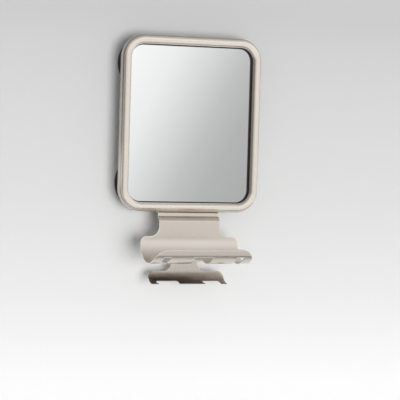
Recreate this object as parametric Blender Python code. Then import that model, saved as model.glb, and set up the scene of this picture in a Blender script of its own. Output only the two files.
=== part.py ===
"""Shower mirror that hangs on four suction cups, with a sheet cradle and a hook under its frame.

Metres, +Z up. The wall is the plane y = 0 and the object stands in front of it, towards -Y.
The origin lies on the wall, at the middle of the four cups and of the mirror.
"""

import math

import bmesh
import bpy
from mathutils import Matrix, Vector

# General
GAP = 0.0003                    # between pieces that touch
OVERRUN = 0.004                 # how far a cutter runs past what it cuts
CORNER_STEPS = 10               # segments in a quarter turn of the frame's corners
ROUND_STEPS = 28                # segments round a cup
SMALL_STEPS = 16                # segments round a stud or a screw

# Frame: a hollow channel, a round bar in front of a slightly wider rim, open behind
FRAME_WIDTH = 0.1845
FRAME_HEIGHT = 0.2190
FRAME_DEPTH = 0.0145
FRAME_CORNER_RADIUS = 0.0285
ROUND_RADIUS = 0.0051
RIM_STEP = 0.0009               # how far the rim stands out past the round
RIM_DEPTH = 0.0086              # from the back to the groove behind the round
RIM_EDGE = 0.0008
FRAME_WALL = 0.0018
THROAT_EASE = 0.0003            # from the hollow's widest to where it narrows behind the groove
THROAT_START = 0.0026           # behind the rim's front face
THROAT_END = 0.0010
FRAME_LEDGE = 0.0024            # step that the seal rests on
BACK_EDGE_RADIUS = 0.0008
BOSS_RADIUS = 0.0033
BOSS_DEPTH = 0.0072
BOSS_HOLE_DEPTH = 0.0062
LOW_BOSS_RADIUS = 0.0031        # of the bosses that stand on the lower rail

# Glass, its seal and the foam behind it
GLASS_THICKNESS = 0.0030
SEAL_WALL = 0.0008
SEAL_SIGHT = 0.00145            # dark line that shows inside the frame
FOAM_WIDTH = 0.0120
FOAM_HEIGHT = 0.1100
FOAM_SPACING = 0.0340
FOAM_CORNER_RADIUS = 0.0020

# Back plate: a dished sheet with four keyholes
PLATE_THICKNESS = 0.0015
PLATE_INSET = 0.0012            # from the frame's outer edge
PLATE_DISH = 0.0040
DISH_INSET = 0.0150
DISH_SLOPE = 0.0030

# Suction cups and their studs
CUP_RADIUS = 0.0350
CUP_INSET_X = 0.03715           # from the frame's outer edge to a cup's centre
CUP_INSET_Z = 0.0350
CUP_STANDOFF = 0.0122           # wall to the back plate's rear face
CUP_EDGE = 0.0009
CUP_HOLLOW_RADIUS = 0.0240
CUP_HOLLOW_DEPTH = 0.0014
CUP_HOLLOW_SHARES = (0.5, 0.8)  # of the hollow's radius and depth, at the bend of its roof
CUP_CROWN = 0.0056              # height of the disc where it meets the neck
CUP_DOME_SHARES = (0.25, 0.5, 0.75)
CUP_DOME_POWER = 1.5
CUP_NECK_RADIUS = 0.0085
CUP_POCKET_FLOOR = 0.0045
STUD_RADIUS = 0.0030
STUD_HEAD_RADIUS = 0.0055
STUD_HEAD_THICKNESS = 0.0020
STUD_FOOT_RADIUS = 0.0058
STUD_FOOT_THICKNESS = 0.0016
STUD_EDGE = 0.0005
KEYHOLE_DROP = 0.0105           # from the hanging place to the entry
KEYHOLE_CLEARANCE = 0.0005      # round a stud's head in the entry

# Cradle: one bent sheet
SHEET_THICKNESS = 0.0012
SHEET_BEND_RADIUS = 0.0016
MITRE_LIMIT_SHARE = 0.5         # least share of a bend's corner that keeps its thickness
STRIP_WIDTH = 0.0806
STRIP_Y = -0.0255
STRIP_DROP = 0.0055             # straight part below the frame
JOGGLE_DEPTH = 0.0060
CRADLE_WIDTH = 0.1296
CRADLE_REAR_RADIUS = 0.0296     # to the middle of the sheet, behind the bottom line
CRADLE_FRONT_RADIUS = 0.0384    # ahead of it
CRADLE_FRONT_DEGREES = 45.0     # how far past the bottom the front arc runs
CRADLE_LIP = 0.0090             # flat lip above a crease
CRADLE_LIP_DEGREES = 59.0       # its slope
CRADLE_LIP_CORNER = 0.0175
CRADLE_DROP = 0.0624            # from the frame's bottom to its underside
CRADLE_SHOULDER_RISE = 0.0439   # from its underside to the fillet's start
CRADLE_SHOULDER_FILLET = 0.0120
CRADLE_SHOULDER_CORNER = 0.0080
CRADLE_FLANGE_TAB = 0.0069      # from the strip back under the frame
SLOT_MIDDLE_WIDTH = 0.0245
SLOT_SIDE_WIDTH = 0.0092
SLOT_SIDE_SPACING = 0.0960
SLOT_FRONT = 0.0247             # ahead of the bottom line
SLOT_REAR = 0.0108              # behind the bottom line
SLOT_CORNER_RADIUS = 0.0015

# Hook: one bent strap, its blade a little off the neck's middle
HOOK_NECK_WIDTH = 0.0352
HOOK_WIDTH = 0.1005
HOOK_OFFSET = 0.0020            # of the blade's middle from the neck's
HOOK_RADIUS = 0.0165            # to the middle of the sheet
HOOK_DROP = 0.0903              # from the frame's bottom to its underside
HOOK_ARC_DEGREES = 15.0         # past its lowest line
HOOK_FILLET_RISE = 0.0251       # from its underside to the fillet's start
HOOK_FILLET_RADIUS = 0.0090
HOOK_SHOULDER_FALL = 0.0010
HOOK_END_CORNER = 0.0080
HOOK_TIP_CORNER = 0.0040
HOOK_TOP_INSET = 0.0016         # below the back plate's dish
NOTCH_LEFT_START = -0.0400
NOTCH_LEFT_END = -0.0102
NOTCH_RIGHT_START = 0.0220
NOTCH_RIGHT_END = 0.0450
NOTCH_REACH = 0.0092            # behind the hook's bottom line
NOTCH_CORNER_RADIUS = 0.0030

# Screws
SCREW_RADIUS = 0.0013
SCREW_LENGTH = 0.0072
SCREW_HEAD_RADIUS = 0.0027
SCREW_HEAD_HEIGHT = 0.0018
SCREW_HEAD_DOME = 0.0007
PLATE_SCREW_TOP_INSET = 0.04225  # from the frame's side
PLATE_SCREW_LOW_INSET = 0.03725
HOOK_SCREW_SPACING = 0.0200
CRADLE_SCREW_SPACING = 0.0280
CRADLE_SCREW_Y = -0.0214

# Depths that follow from the sizes above, counted from the wall
FLOOR_BACK = -CUP_STANDOFF
FLOOR_FRONT = FLOOR_BACK - PLATE_THICKNESS
FLANGE_BACK = FLOOR_BACK - PLATE_DISH
FLANGE_FRONT = FLANGE_BACK - PLATE_THICKNESS
FRAME_BACK = FLANGE_FRONT - GAP
FRAME_FRONT = FRAME_BACK - FRAME_DEPTH
SEAL_BACK = FLANGE_FRONT - GAP
GLASS_BACK = SEAL_BACK - SEAL_WALL - GAP
GLASS_FRONT = GLASS_BACK - GLASS_THICKNESS
SEAL_FRONT = GLASS_FRONT - GAP - SEAL_WALL
LEDGE_Y = SEAL_FRONT - GAP
ROUND_Y = FRAME_FRONT + ROUND_RADIUS
RIM_FRONT = FRAME_BACK - RIM_DEPTH

# Distances inward from the frame's outer edge
ROUND_IN = RIM_STEP + ROUND_RADIUS
BAR_WIDTH = RIM_STEP + 2 * ROUND_RADIUS
LEDGE_IN = BAR_WIDTH - FRAME_LEDGE
CHANNEL_IN = LEDGE_IN - FRAME_WALL
CHANNEL_MIDDLE = (FRAME_WALL + CHANNEL_IN) / 2
SEAL_OUT = LEDGE_IN + GAP
GLASS_OUT = SEAL_OUT + SEAL_WALL + GAP
SEAL_IN = BAR_WIDTH + SEAL_SIGHT
THROAT_IN = RIM_STEP + FRAME_WALL + THROAT_EASE

SCREW_HOLE_RADIUS = SCREW_RADIUS + GAP
FRAME_BOTTOM = -FRAME_HEIGHT / 2
RAIL_Z = FRAME_BOTTOM + CHANNEL_MIDDLE
CRADLE_BOTTOM = FRAME_BOTTOM - CRADLE_DROP
HOOK_BOTTOM = FRAME_BOTTOM - HOOK_DROP


# Scene and materials

def clear_scene():
    """Remove every object that the file holds."""
    for item in list(bpy.data.objects):
        bpy.data.objects.remove(item, do_unlink=True)


def make_material(name, color, roughness, metallic):
    """A plain Principled material."""
    material = bpy.data.materials.new(name)
    material.use_nodes = True
    shader = material.node_tree.nodes["Principled BSDF"]
    shader.inputs["Base Color"].default_value = (*color, 1.0)
    shader.inputs["Roughness"].default_value = roughness
    shader.inputs["Metallic"].default_value = metallic
    return material


def frame_nickel():
    return make_material("frame_nickel", (0.72, 0.67, 0.61), 0.38, 0.85)


def sheet_nickel(name):
    return make_material(name, (0.70, 0.65, 0.59), 0.34, 0.9)


def mirror_silver():
    return make_material("mirror_silver", (0.86, 0.87, 0.87), 0.04, 1.0)


def black_rubber(name):
    return make_material(name, (0.025, 0.025, 0.027), 0.5, 0.0)


def foam_grey(name):
    return make_material(name, (0.30, 0.30, 0.31), 0.9, 0.0)


def plate_grey():
    return make_material("plate_grey", (0.42, 0.42, 0.43), 0.5, 0.0)


def zinc_steel(name):
    return make_material(name, (0.62, 0.62, 0.62), 0.35, 1.0)


# Mesh helpers

def object_from_bmesh(name, bm, material=None):
    """Close a bmesh into a named object with its faces pointing out."""
    bmesh.ops.recalc_face_normals(bm, faces=bm.faces)
    mesh = bpy.data.meshes.new(name)
    bm.to_mesh(mesh)
    bm.free()
    mesh.shade_smooth()
    mesh.set_sharp_from_angle(angle=math.radians(35.0))
    if material:
        mesh.materials.append(material)
    item = bpy.data.objects.new(name, mesh)
    bpy.context.scene.collection.objects.link(item)
    return item


def bridge_rings(bm, rings, closed):
    """Join rings of vertices, one after another, with four-sided faces."""
    count = len(rings)
    for index in range(count if closed else count - 1):
        first = rings[index]
        second = rings[(index + 1) % count]
        for side in range(len(first)):
            after = (side + 1) % len(first)
            bm.faces.new((first[side], first[after], second[after], second[side]))


def rounded_loop(half_width, half_height, radius, steps=CORNER_STEPS):
    """Points of a rounded rectangle in (x, z), counter-clockwise from the right side."""
    points = []
    centres = ((1, 1), (-1, 1), (-1, -1), (1, -1))
    for quarter, (side_x, side_z) in enumerate(centres):
        centre_x = side_x * (half_width - radius)
        centre_z = side_z * (half_height - radius)
        for step in range(steps + 1):
            angle = math.radians(90.0) * (quarter + step / steps)
            points.append((centre_x + radius * math.cos(angle), centre_z + radius * math.sin(angle)))
    return points


def frame_loop(inward):
    """The frame's outline moved inward by a distance."""
    return rounded_loop(FRAME_WIDTH / 2 - inward, FRAME_HEIGHT / 2 - inward, FRAME_CORNER_RADIUS - inward)


def rim_solid(name, section, material):
    """Carry a closed section, as (inward, y) points, round the frame's outline."""
    bm = bmesh.new()
    rings = []
    for inward, depth in section:
        rings.append([bm.verts.new((x, depth, z)) for x, z in frame_loop(inward)])
    bridge_rings(bm, rings, closed=True)
    return object_from_bmesh(name, bm, material)


def prism(name, outline, low, high, axis, material=None):
    """Extrude an outline along X, Y or Z between two values."""
    place = {
        "X": lambda a, b, along: (along, a, b),
        "Y": lambda a, b, along: (a, along, b),
        "Z": lambda a, b, along: (a, b, along),
    }[axis]
    bm = bmesh.new()
    rings = [[bm.verts.new(place(a, b, along)) for a, b in outline] for along in (low, high)]
    bridge_rings(bm, rings, closed=False)
    bm.faces.new(rings[0])
    bm.faces.new(rings[1])
    return object_from_bmesh(name, bm, material)


def turned(name, profile, steps, material=None):
    """Spin a profile of (radius, height) points round Z; it starts and ends on the axis."""
    bm = bmesh.new()
    rings = []
    for radius, height in profile[1:-1]:
        ring = []
        for step in range(steps):
            angle = 2 * math.pi * step / steps
            ring.append(bm.verts.new((radius * math.cos(angle), radius * math.sin(angle), height)))
        rings.append(ring)
    bridge_rings(bm, rings, closed=False)
    for ring, (_, height) in ((rings[0], profile[0]), (rings[-1], profile[-1])):
        pole = bm.verts.new((0, 0, height))
        for side in range(steps):
            bm.faces.new((ring[side], ring[(side + 1) % steps], pole))
    return object_from_bmesh(name, bm, material)


def bent_sheet(name, path, left, right, material):
    """A sheet of even thickness that follows a path of (y, z) points between two sides."""
    bm = bmesh.new()
    rings = []
    for index, point in enumerate(path):
        before = Vector(path[max(index - 1, 0)])
        after = Vector(path[min(index + 1, len(path) - 1)])
        here = Vector(point)
        first = (here - before).normalized() if index else (after - here).normalized()
        second = (after - here).normalized() if index < len(path) - 1 else first
        normal = Vector((-(first + second).y, (first + second).x)).normalized()
        reach = SHEET_THICKNESS / 2 / max(normal.dot(Vector((-first.y, first.x))), MITRE_LIMIT_SHARE)
        ring = []
        for x, side in ((left, -1), (right, -1), (right, 1), (left, 1)):
            place = here + normal * reach * side
            ring.append(bm.verts.new((x, place.x, place.y)))
        rings.append(ring)
    bridge_rings(bm, rings, closed=False)
    bm.faces.new(rings[0])
    bm.faces.new(rings[-1])
    return object_from_bmesh(name, bm, material)


def arc_points(centre, radius, start_degrees, end_degrees, steps):
    """Points of an arc in a plane, both ends included."""
    points = []
    for step in range(steps + 1):
        angle = math.radians(start_degrees + (end_degrees - start_degrees) * step / steps)
        points.append((centre[0] + radius * math.cos(angle), centre[1] + radius * math.sin(angle)))
    return points


def circle_points(centre, radius, steps):
    """Points of a full circle in a plane."""
    return arc_points(centre, radius, 0.0, 360.0, steps)[:-1]


def rounded_box_outline(left, right, low, high, radius, steps=3):
    """A rectangle with round corners as an outline."""
    middle = ((left + right) / 2, (low + high) / 2)
    loop = rounded_loop((right - left) / 2, (high - low) / 2, radius, steps)
    return [(middle[0] + a, middle[1] + b) for a, b in loop]


def join_cutters(name, cutters):
    """Make one cutter of several that lie apart."""
    bm = bmesh.new()
    for cutter in cutters:
        mesh = cutter.data
        mesh.transform(cutter.matrix_world)
        bm.from_mesh(mesh)
        bpy.data.objects.remove(cutter, do_unlink=True)
    return object_from_bmesh(name, bm)


def apply_boolean(target, tool, operation):
    """Cut a tool out of a target, or join it on, and keep the tool as a hidden guide."""
    tool.hide_render = True
    tool.display_type = "WIRE"
    tool.hide_viewport = False
    modifier = target.modifiers.new(tool.name, "BOOLEAN")
    modifier.operation = operation
    modifier.solver = "EXACT"
    modifier.object = tool


def turn_to_wall_axis(item, place, towards_wall):
    """Lay a turned piece's axis along Y at a place; its height runs to or from the wall."""
    quarter = math.radians(-90.0 if towards_wall else 90.0)
    item.matrix_world = Matrix.Translation(place) @ Matrix.Rotation(quarter, 4, "X")


# Places of the fasteners

def plate_screw_places():
    """Centres (x, z) of the six screws that hold the back plate to the frame."""
    rows = ((PLATE_SCREW_TOP_INSET, -RAIL_Z), (CHANNEL_MIDDLE, 0.0), (PLATE_SCREW_LOW_INSET, RAIL_Z))
    return [(side * (FRAME_WIDTH / 2 - inset), z) for inset, z in rows for side in (-1, 1)]


def hook_screw_places():
    """Centres (x, z) of the two screws that go through the hook's strap."""
    return [(side * HOOK_SCREW_SPACING / 2, RAIL_Z) for side in (-1, 1)]


def cradle_screw_places():
    """Places along X of the three screws under the frame."""
    return [step * CRADLE_SCREW_SPACING for step in (-1, 0, 1)]


def cup_places():
    """Names and centres (x, z) of the four cups."""
    x = FRAME_WIDTH / 2 - CUP_INSET_X
    z = FRAME_HEIGHT / 2 - CUP_INSET_Z
    rows = (("top", z), ("bottom", -z))
    sides = (("left", -x), ("right", x))
    return [(f"{row}_{side}", (across, up)) for row, up in rows for side, across in sides]


# Mirror side

def frame_section():
    """The channel's section: rim, groove, round front, ledge, and back through the hollow."""
    centre = (ROUND_IN, ROUND_Y)
    groove = math.degrees(math.asin((RIM_FRONT - ROUND_Y) / ROUND_RADIUS))
    section = [(BACK_EDGE_RADIUS, FRAME_BACK), (0.0, FRAME_BACK - BACK_EDGE_RADIUS)]
    section += [(0.0, RIM_FRONT + RIM_EDGE), (RIM_EDGE, RIM_FRONT)]
    section += arc_points(centre, ROUND_RADIUS, 180.0 - groove, 360.0, 13)
    section += [(BAR_WIDTH, LEDGE_Y), (LEDGE_IN, LEDGE_Y), (LEDGE_IN, FRAME_BACK), (CHANNEL_IN, FRAME_BACK)]
    inner_radius = ROUND_RADIUS - FRAME_WALL
    enter = math.degrees(math.acos((CHANNEL_IN - ROUND_IN) / inner_radius))
    leave = math.degrees(math.acos((ROUND_IN - THROAT_IN) / inner_radius))
    section += arc_points(centre, inner_radius, enter, -180.0 - leave, 10)
    section += [(THROAT_IN, RIM_FRONT + THROAT_END), (FRAME_WALL, RIM_FRONT + THROAT_START)]
    section += [(FRAME_WALL, FRAME_BACK)]
    return section


def make_frame():
    """The rounded channel with its screw bosses."""
    frame = rim_solid("frame", frame_section(), frame_nickel())
    bosses = []
    holes = []
    for index, (x, z) in enumerate(plate_screw_places() + hook_screw_places()):
        outline = circle_points((x, z), BOSS_RADIUS, 16)
        bosses.append(prism(f"boss_{index}", outline, FRAME_BACK - BOSS_DEPTH, FRAME_BACK, "Y"))
        outline = circle_points((x, z), SCREW_HOLE_RADIUS, 12)
        depth = FRAME_BACK - BOSS_HOLE_DEPTH
        holes.append(prism(f"hole_{index}", outline, depth, FRAME_BACK + OVERRUN, "Y"))
    low = FRAME_BOTTOM + FRAME_WALL / 2
    high = FRAME_BOTTOM + CHANNEL_IN + FRAME_WALL / 2
    for index, x in enumerate(cradle_screw_places()):
        centre = (x, CRADLE_SCREW_Y)
        outline = circle_points(centre, LOW_BOSS_RADIUS, 16)
        bosses.append(prism(f"low_boss_{index}", outline, low, high, "Z"))
        outline = circle_points(centre, SCREW_HOLE_RADIUS, 12)
        top = FRAME_BOTTOM + SCREW_LENGTH
        holes.append(prism(f"low_hole_{index}", outline, FRAME_BOTTOM - OVERRUN, top, "Z"))
    apply_boolean(frame, join_cutters("frame_bosses", bosses), "UNION")
    apply_boolean(frame, join_cutters("frame_holes", holes), "DIFFERENCE")
    return frame


def make_glass():
    """The mirror glass, coated in front against fog."""
    return prism("mirror_glass", frame_loop(GLASS_OUT), GLASS_FRONT, GLASS_BACK, "Y", mirror_silver())


def make_seal():
    """A U-shaped rubber seal round the glass's edge."""
    side = SEAL_OUT + SEAL_WALL
    section = [
        (SEAL_OUT, SEAL_BACK),
        (SEAL_OUT, SEAL_FRONT),
        (SEAL_IN, SEAL_FRONT),
        (SEAL_IN, SEAL_FRONT + SEAL_WALL),
        (side, SEAL_FRONT + SEAL_WALL),
        (side, SEAL_BACK - SEAL_WALL),
        (SEAL_IN, SEAL_BACK - SEAL_WALL),
        (SEAL_IN, SEAL_BACK),
    ]
    return rim_solid("glass_seal", section, black_rubber("seal_black"))


def make_foam_pads():
    """Two upright foam strips that hold the glass off the back plate."""
    pads = []
    for name, side in (("left", -1), ("right", 1)):
        middle = side * FOAM_SPACING / 2
        outline = rounded_box_outline(
            middle - FOAM_WIDTH / 2, middle + FOAM_WIDTH / 2,
            -FOAM_HEIGHT / 2, FOAM_HEIGHT / 2, FOAM_CORNER_RADIUS,
        )
        material = foam_grey(f"foam_{name}")
        pads.append(prism(f"foam_pad_{name}", outline, GLASS_BACK + GAP, FLOOR_FRONT - GAP, "Y", material))
    return pads


def keyhole_outline(x, z):
    """A keyhole: a slot with its round end at the stud and a wide entry below it."""
    half_slot = STUD_RADIUS + GAP
    entry = STUD_HEAD_RADIUS + KEYHOLE_CLEARANCE
    spread = math.degrees(math.asin(half_slot / entry))
    outline = arc_points((x, z), half_slot, 0.0, 180.0, 8)
    outline += arc_points((x, z - KEYHOLE_DROP), entry, 90.0 + spread, 450.0 - spread, 16)
    return outline


def make_back_plate():
    """The dished plate that closes the frame's back and carries the keyholes."""
    loops = (
        (PLATE_INSET, FLANGE_FRONT),
        (DISH_INSET, FLANGE_FRONT),
        (DISH_INSET + DISH_SLOPE, FLOOR_FRONT),
    )
    rear_loops = (
        (DISH_INSET + DISH_SLOPE - PLATE_THICKNESS / 2, FLOOR_BACK),
        (DISH_INSET - PLATE_THICKNESS / 2, FLANGE_BACK),
        (PLATE_INSET, FLANGE_BACK),
    )
    bm = bmesh.new()
    front = [[bm.verts.new((x, y, z)) for x, z in frame_loop(inward)] for inward, y in loops]
    rear = [[bm.verts.new((x, y, z)) for x, z in frame_loop(inward)] for inward, y in rear_loops]
    bridge_rings(bm, rear + front, closed=False)
    bm.faces.new(rear[0])
    bm.faces.new(front[-1])
    plate = object_from_bmesh("back_plate", bm, plate_grey())
    cutters = []
    for name, (x, z) in cup_places():
        outline = keyhole_outline(x, z)
        cutters.append(prism(f"keyhole_{name}", outline, FLOOR_FRONT - GAP, FLOOR_BACK + GAP, "Y"))
    for index, (x, z) in enumerate(plate_screw_places() + hook_screw_places()):
        outline = circle_points((x, z), SCREW_HOLE_RADIUS + GAP, 12)
        cutters.append(prism(f"plate_hole_{index}", outline, FLANGE_FRONT - GAP, FLANGE_BACK + GAP, "Y"))
    apply_boolean(plate, join_cutters("plate_cutters", cutters), "DIFFERENCE")
    return plate


# Wall side

def cup_profile():
    """Half section of a cup pressed on the wall, as (radius, height off the wall)."""
    pocket = STUD_FOOT_RADIUS + GAP
    pocket_top = CUP_POCKET_FLOOR + STUD_FOOT_THICKNESS + 2 * GAP
    top = CUP_STANDOFF - GAP
    radius_share, depth_share = CUP_HOLLOW_SHARES
    profile = [(0.0, CUP_HOLLOW_DEPTH), (CUP_HOLLOW_RADIUS * radius_share, CUP_HOLLOW_DEPTH * depth_share)]
    profile += [(CUP_HOLLOW_RADIUS, 0.0), (CUP_RADIUS, 0.0), (CUP_RADIUS, CUP_EDGE)]
    for share in CUP_DOME_SHARES:
        radius = CUP_RADIUS + (CUP_NECK_RADIUS - CUP_RADIUS) * share
        profile.append((radius, CUP_EDGE + (CUP_CROWN - CUP_EDGE) * share ** CUP_DOME_POWER))
    profile += [(CUP_NECK_RADIUS, CUP_CROWN), (CUP_NECK_RADIUS, top - GAP), (CUP_NECK_RADIUS - GAP, top)]
    profile += [(STUD_RADIUS + GAP, top), (STUD_RADIUS + GAP, pocket_top)]
    profile += [(pocket, pocket_top), (pocket, CUP_POCKET_FLOOR), (0.0, CUP_POCKET_FLOOR)]
    return profile


def stud_profile():
    """Half section of a stud: its foot in the cup, its neck, and its head in the keyhole."""
    foot = CUP_POCKET_FLOOR + GAP
    foot_top = foot + STUD_FOOT_THICKNESS
    head = CUP_STANDOFF + PLATE_THICKNESS + GAP
    head_top = head + STUD_HEAD_THICKNESS
    return [
        (0.0, foot),
        (STUD_FOOT_RADIUS, foot),
        (STUD_FOOT_RADIUS, foot_top),
        (STUD_RADIUS, foot_top),
        (STUD_RADIUS, head),
        (STUD_HEAD_RADIUS, head),
        (STUD_HEAD_RADIUS, head_top - STUD_EDGE),
        (STUD_HEAD_RADIUS - STUD_EDGE, head_top),
        (0.0, head_top),
    ]


def make_cups_and_studs():
    """Four cups and their studs, each with its axis square to the wall."""
    for name, (x, z) in cup_places():
        cup = turned(f"suction_cup_{name}", cup_profile(), ROUND_STEPS, black_rubber(f"cup_{name}"))
        turn_to_wall_axis(cup, (x, 0.0, z), towards_wall=False)
        stud = turned(f"cup_stud_{name}", stud_profile(), SMALL_STEPS, zinc_steel(f"stud_{name}"))
        turn_to_wall_axis(stud, (x, 0.0, z), towards_wall=False)


# Cradle

def cradle_centre():
    """Axis of the cradle's rear arc, as (y, z)."""
    middle_z = CRADLE_BOTTOM + SHEET_THICKNESS / 2
    return (STRIP_Y - JOGGLE_DEPTH - CRADLE_REAR_RADIUS, middle_z + CRADLE_REAR_RADIUS)


def cradle_path():
    """Middle line of the cradle's sheet in (y, z), from the flange under the frame to the lip."""
    bend = SHEET_BEND_RADIUS
    flange_z = FRAME_BOTTOM - GAP - SHEET_THICKNESS / 2
    bend_centre = (STRIP_Y + bend, flange_z - bend)
    path = [(STRIP_Y + CRADLE_FLANGE_TAB, flange_z)]
    path += arc_points(bend_centre, bend, 90.0, 180.0, 4)
    joggle_top = FRAME_BOTTOM - STRIP_DROP
    path += [(STRIP_Y, joggle_top), (STRIP_Y - JOGGLE_DEPTH, joggle_top - JOGGLE_DEPTH)]
    rear_centre = cradle_centre()
    front_centre = (rear_centre[0], rear_centre[1] - CRADLE_REAR_RADIUS + CRADLE_FRONT_RADIUS)
    path += arc_points(rear_centre, CRADLE_REAR_RADIUS, 0.0, -90.0, 14)
    path += arc_points(front_centre, CRADLE_FRONT_RADIUS, -90.0, -90.0 - CRADLE_FRONT_DEGREES, 8)[1:]
    slope = math.radians(CRADLE_LIP_DEGREES)
    end_y, end_z = path[-1]
    path.append((end_y - CRADLE_LIP * math.cos(slope), end_z + CRADLE_LIP * math.sin(slope)))
    return path


def shoulder_cutter(side):
    """What is cut away beside the strip, with a hollow fillet and a round shoulder."""
    fillet = CRADLE_SHOULDER_FILLET
    corner = CRADLE_SHOULDER_CORNER
    narrow = STRIP_WIDTH / 2
    wide = CRADLE_WIDTH / 2
    fillet_z = CRADLE_BOTTOM + CRADLE_SHOULDER_RISE
    shoulder_z = fillet_z - fillet
    top = FRAME_BOTTOM + OVERRUN
    outline = [(narrow, top)]
    outline += arc_points((narrow + fillet, fillet_z), fillet, 180.0, 270.0, 6)
    outline += arc_points((wide - corner, shoulder_z - corner), corner, 90.0, 0.0, 5)
    outline += [(wide + OVERRUN, shoulder_z - corner), (wide + OVERRUN, top)]
    outline = [(side * x, z) for x, z in outline]
    front = STRIP_Y - JOGGLE_DEPTH - OVERRUN
    return prism(f"shoulder_{side}", outline, front, STRIP_Y + CRADLE_FLANGE_TAB + OVERRUN, "Y")


def lip_corner_cutter(side):
    """What is cut off the lip's corner: the outside of a quarter circle, seen from the front."""
    corner = CRADLE_LIP_CORNER
    edge = side * CRADLE_WIDTH / 2
    lip_y, lip_z = cradle_path()[-1]
    top = lip_z + OVERRUN
    outside = edge + side * OVERRUN
    outline = [(outside, lip_z - corner), (outside, top), (edge - side * corner, top)]
    quarter = arc_points((0.0, 0.0), corner, 90.0, 0.0, 8)
    outline += [(edge - side * corner + side * a, lip_z - corner + b) for a, b in quarter]
    return prism(f"cradle_corner_{side}", outline, lip_y - OVERRUN, cradle_centre()[0], "Y")


def make_cradle():
    """The trough of bent sheet, fixed under the frame."""
    path = cradle_path()
    half = CRADLE_WIDTH / 2
    cradle = bent_sheet("can_cradle", path, -half, half, sheet_nickel("cradle_nickel"))
    centre_y = cradle_centre()[0]
    cutters = [shoulder_cutter(side) for side in (-1, 1)] + [lip_corner_cutter(side) for side in (-1, 1)]
    low = CRADLE_BOTTOM - OVERRUN
    high = cradle_centre()[1]
    slots = [(-SLOT_MIDDLE_WIDTH / 2, SLOT_MIDDLE_WIDTH / 2)]
    for side in (-1, 1):
        middle = side * SLOT_SIDE_SPACING / 2
        slots.append((middle - SLOT_SIDE_WIDTH / 2, middle + SLOT_SIDE_WIDTH / 2))
    for index, (left, right) in enumerate(slots):
        outline = rounded_box_outline(
            left, right, centre_y - SLOT_FRONT, centre_y + SLOT_REAR, SLOT_CORNER_RADIUS,
        )
        cutters.append(prism(f"slot_{index}", outline, low, high, "Z"))
    for index, x in enumerate(cradle_screw_places()):
        outline = circle_points((x, CRADLE_SCREW_Y), SCREW_HOLE_RADIUS + GAP, 12)
        flange_low = FRAME_BOTTOM - GAP - SHEET_THICKNESS
        cutters.append(prism(f"flange_hole_{index}", outline, flange_low - GAP, FRAME_BOTTOM, "Z"))
    apply_boolean(cradle, join_cutters("cradle_cutters", cutters), "DIFFERENCE")
    return cradle


# Hook

def hook_plane():
    """Depth of the middle of the strap, which lies on the back plate's flange."""
    return FLANGE_BACK + GAP + SHEET_THICKNESS / 2


def hook_centre():
    """Axis of the hook's round part, as (y, z)."""
    return (hook_plane() - HOOK_RADIUS, HOOK_BOTTOM + SHEET_THICKNESS / 2 + HOOK_RADIUS)


def hook_path():
    """Middle line of the strap in (y, z), from its top to the tips, which rise a little."""
    top = FRAME_BOTTOM + DISH_INSET - PLATE_THICKNESS / 2 - HOOK_TOP_INSET
    path = [(hook_plane(), top)]
    return path + arc_points(hook_centre(), HOOK_RADIUS, 0.0, -90.0 - HOOK_ARC_DEGREES, 16)


def hook_edge(side):
    """Where the blade ends along X."""
    return HOOK_OFFSET + side * HOOK_WIDTH / 2


def neck_cutter(side):
    """What is cut away beside the neck, with a hollow fillet and the round end of the blade."""
    narrow = HOOK_NECK_WIDTH / 2
    wide = side * hook_edge(side)
    fillet = HOOK_FILLET_RADIUS
    corner = HOOK_END_CORNER
    fillet_z = HOOK_BOTTOM + HOOK_FILLET_RISE
    shoulder_z = fillet_z - fillet
    end_z = shoulder_z - HOOK_SHOULDER_FALL
    top = hook_path()[0][1] + OVERRUN
    outline = [(narrow, top)]
    outline += arc_points((narrow + fillet, fillet_z), fillet, 180.0, 270.0, 6)
    outline += arc_points((wide - corner, end_z - corner), corner, 90.0, 0.0, 6)
    outline += [(wide + OVERRUN, end_z - corner), (wide + OVERRUN, top)]
    outline = [(side * x, z) for x, z in outline]
    return prism(f"neck_{side}", outline, hook_plane() - HOOK_RADIUS, hook_plane() + OVERRUN, "Y")


def tip_corner_cutter(side):
    """What is cut off a front corner of the blade: the outside of a quarter circle, seen from above."""
    corner = HOOK_TIP_CORNER
    edge = hook_edge(side)
    front = hook_path()[-1][0]
    outside = edge + side * OVERRUN
    outline = [(outside, front + corner), (outside, front - OVERRUN), (edge - side * corner, front - OVERRUN)]
    quarter = arc_points((0.0, 0.0), corner, 90.0, 0.0, 6)
    outline += [(edge - side * corner + side * a, front + corner - b) for a, b in quarter]
    return prism(f"hook_corner_{side}", outline, HOOK_BOTTOM - OVERRUN, hook_centre()[1], "Z")


def make_hook():
    """The strap that curls forward below the cradle and ends in open fingers."""
    path = hook_path()
    hook = bent_sheet("razor_hook", path, hook_edge(-1), hook_edge(1), sheet_nickel("hook_nickel"))
    centre_y, centre_z = hook_centre()
    cutters = [neck_cutter(side) for side in (-1, 1)] + [tip_corner_cutter(side) for side in (-1, 1)]
    front = centre_y - HOOK_RADIUS - OVERRUN
    notches = ((NOTCH_LEFT_START, NOTCH_LEFT_END), (NOTCH_RIGHT_START, NOTCH_RIGHT_END))
    for index, (left, right) in enumerate(notches):
        outline = rounded_box_outline(left, right, front, centre_y + NOTCH_REACH, NOTCH_CORNER_RADIUS)
        cutters.append(prism(f"notch_{index}", outline, HOOK_BOTTOM - OVERRUN, centre_z, "Z"))
    for index, (x, z) in enumerate(hook_screw_places()):
        outline = circle_points((x, z), SCREW_HOLE_RADIUS + GAP, 12)
        rear = hook_plane() + SHEET_THICKNESS
        cutters.append(prism(f"strap_hole_{index}", outline, FLANGE_BACK, rear, "Y"))
    apply_boolean(hook, join_cutters("hook_cutters", cutters), "DIFFERENCE")
    return hook


# Screws

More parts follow.
